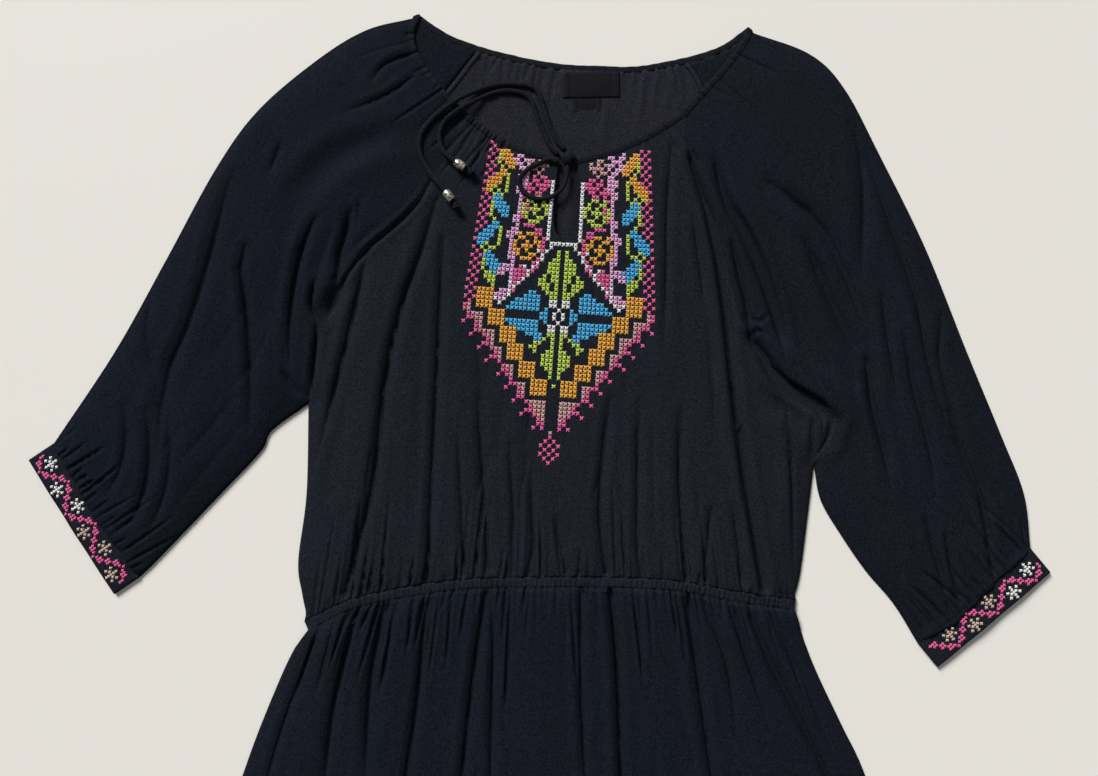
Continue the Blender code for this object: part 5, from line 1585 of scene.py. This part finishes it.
def vine(chart, side):
    """The lime vine with blue and orange leaves."""
    previous = None
    for row in range(41, 76):
        column = 17.4 - 1.6 * math.cos(2 * math.pi * (row - 53) / 13)
        chart.put(side * column, row, "lime")
        if previous is not None and abs(round(column) - previous) > 1:
            chart.put(side * (round(column) + previous) / 2, row, "lime")
        previous = round(column)
    for row, column, colour, flip in [(49, 15, "blue", 1), (56, 17, "blue", 0), (63, 15, "blue", 1),
                                      (69, 17, "orange", 0), (75, 15, "orange", 1)]:
        rows = LEAF if flip else tuple(text[::-1] for text in LEAF)
        chart.motif(rows, column, row, colour, side)
    for row, column in ((51, 18), (65, 18), (44, 16)):
        chart.motif(DIAMOND, column, row, "lime", side)


def chain(chart, side):
    """The lilac chain of dot flowers."""
    chart.line([(13, 38), (12, 44), (13, 50), (12, 57), (12, 64), (11, 69)], "lilac", side)
    for row, column in ((39, 13), (45, 13), (49, 11), (54, 12), (58, 11), (65, 11), (68, 11)):
        chart.motif(DOT, column, row + 1, "lilac", side)
    chart.motif(CLUSTER, 11, 75, "lilac", side)


def scroll(chart, side):
    """The pink scroll and the flowers that it holds."""
    path = [(11, 40), (10, 43), (7, 45), (5, 48), (5, 52), (6, 55), (9, 56), (10, 59), (10, 66)]
    chart.line(path, "pink", side, double=True)
    chart.motif(ROSETTE, 5, 63, "lime", side)
    chart.motif(ROSETTE, 6, 54, "orange", side)
    chart.motif(BUD, 5, 68, "pink", side)
    chart.motif(SPRIG, 6, 74, "dusty", side)
    chart.motif(DOT, 9, 46, "pink", side)


def lozenge(chart, side):
    """The lozenge: leaves, petals and a checked centre under a white edge."""
    chart.motif(LEAF_UP, 1, 50, "lime", side)
    chart.motif(LEAF_DOWN, 1, 30, "lime", side)
    chart.motif(PETALS, 3, 40, "blue", side)
    chart.line([(4, 55), (3, 51), (14, 37)], "white", side)
    for k in range(1, 11, 3):
        chart.put(side * (k + 5), 51 - 1.27 * k, "white")
    for row in range(56, 68):
        chart.put(side * 4, row, "white")


def bib_chart():
    """The whole bib: both sides, the middle and the drop at the tip."""
    chart = Chart()
    for side in (-1, 1):
        border(chart, side)
        steps(chart, side)
        vine(chart, side)
        chain(chart, side)
        scroll(chart, side)
        lozenge(chart, side)
    chart.motif(CENTRE, -2, 38, "white")
    chart.line([(-2, 52), (0, 52), (2, 52)], "white")
    chart.put(0, 18, "lime")
    for row, columns in enumerate(((0,), (-1, 1), (-2, 0, 2), (-1, 1), (-2, 0, 2), (-1, 1), (0,))):
        for column in columns:
            chart.put(column, row, "pink")
    chart.put(0, 7, "dusty")
    return chart


def cross_stitches(batch, places, colours, palette, pitch, surface, seed):
    """A cross of two threads at each place. pitch is the cell's width and height."""
    rng = np.random.default_rng(seed)
    diagonal = math.hypot(*pitch) / 2
    tilt = math.atan2(pitch[1], pitch[0])
    for slot, colour in enumerate(palette):
        chosen = np.array([p for p, c in zip(places, colours) if c == colour])
        if not len(chosen):
            continue
        for order, sign in enumerate((1, -1)):
            centres = chosen + rng.normal(0, 0.09, chosen.shape)
            angles = sign * tilt + rng.normal(0, 0.07, len(chosen))
            lengths = diagonal * rng.uniform(0.84, 0.98, len(chosen))
            bars(batch, centres, angles, lengths, 0.78, 0.55, 0.2 + 0.35 * order, surface, slot)


def make_bib():
    """The embroidered bib, stitch by stitch over the folds of the front."""
    chart = bib_chart()
    palette = [name for name in THREADS if name != "tan"]
    places, colours = [], []
    for (column, row), colour in sorted(chart.cells.items()):
        up = (row + 0.5) * ROW_PITCH
        narrow = min(max((up - BIB_TAPER_FROM) / (BIB_TOP - BIB_TAPER_FROM), 0), 1)
        wide = BIB_WIDE + (BIB_NARROW - BIB_WIDE) * narrow
        places.append(BIB_TIP + BIB_UP * up + BIB_RIGHT * column * wide)
        colours.append(colour)
    places = np.array(places)
    clear = distance_to(places[:, 0], places[:, 1], [NECK.left, NECK.right]) > BINDING_WIDTH / 2 + 1.2
    clear &= ~inside(places[:, 0], places[:, 1], NECK.ring)
    places, colours = places[clear], [c for c, keep in zip(colours, clear) if keep]
    batch = Batch()
    cross_stitches(batch, places, colours, palette, (STITCH_WIDE, ROW_PITCH), front_height, SEED["stitch"])
    declare(batch.build("bib_embroidery", [LOOKS[name] for name in palette]), "cloth")


# The cuffs' grid, and how many of each cuff's flowers are white, from its outer fold on
CUFF_PITCH = 2.5
WHITE_STARS = {"left": 3, "right": 2}


def make_cuff_embroidery(side):
    """A pink vine that winds along the cuff, with a flower in each bend."""
    start, run, out, span = cuff_frame(side)
    chart = Chart()
    columns = int((span - 8) / CUFF_PITCH)
    bend, first = 9, 4
    for column in range(columns):
        wave = math.cos(math.pi * (column - first) / bend)
        row = 3.5 + 3.1 * wave
        chart.put(column, row, "pink")
        if abs(wave) < 0.8:
            chart.put(column, row + (1 if column % 2 else -1), "pink")
        if column % bend == first:
            colour = "white" if column // bend < WHITE_STARS[side] else "tan"
            chart.motif(STAR, column - 2, 5.5 - 1.6 * wave, colour)
    palette = ["pink", "white", "tan"]
    places, colours = [], []
    for (column, row), colour in sorted(chart.cells.items()):
        if 0 <= column < columns and 0 <= row <= 7:
            along_cuff, down = 4 + (column + 0.5) * CUFF_PITCH, 5.6 + (row + 0.2) * CUFF_PITCH
            places.append(start + run * along_cuff + out * down)
            colours.append(colour)
    batch = Batch()
    cross_stitches(batch, np.array(places), colours, palette, (CUFF_PITCH, CUFF_PITCH),
                   lambda x, y: cuff_height(side, x, y), SEED["stitch"] + 1)
    declare(batch.build("cuff_embroidery_" + side, [LOOKS[name] for name in palette]), "cloth")


make_stage()
make_ties()
make_front_bodice()
make_front_skirt()
make_backs()
make_casing()
for arm in ("left", "right"):
    make_sleeve(arm)
    make_cuff(arm)
    make_cuff_embroidery(arm)
make_binding()
rounded_plate("label_blank", LABEL_SIZE, LABEL_PLACE, "neck_label")
rounded_plate("tab_blank", TAB_SIZE, TAB_PLACE, "size_tab")
make_sewing()
make_inside_seams()
make_bib()
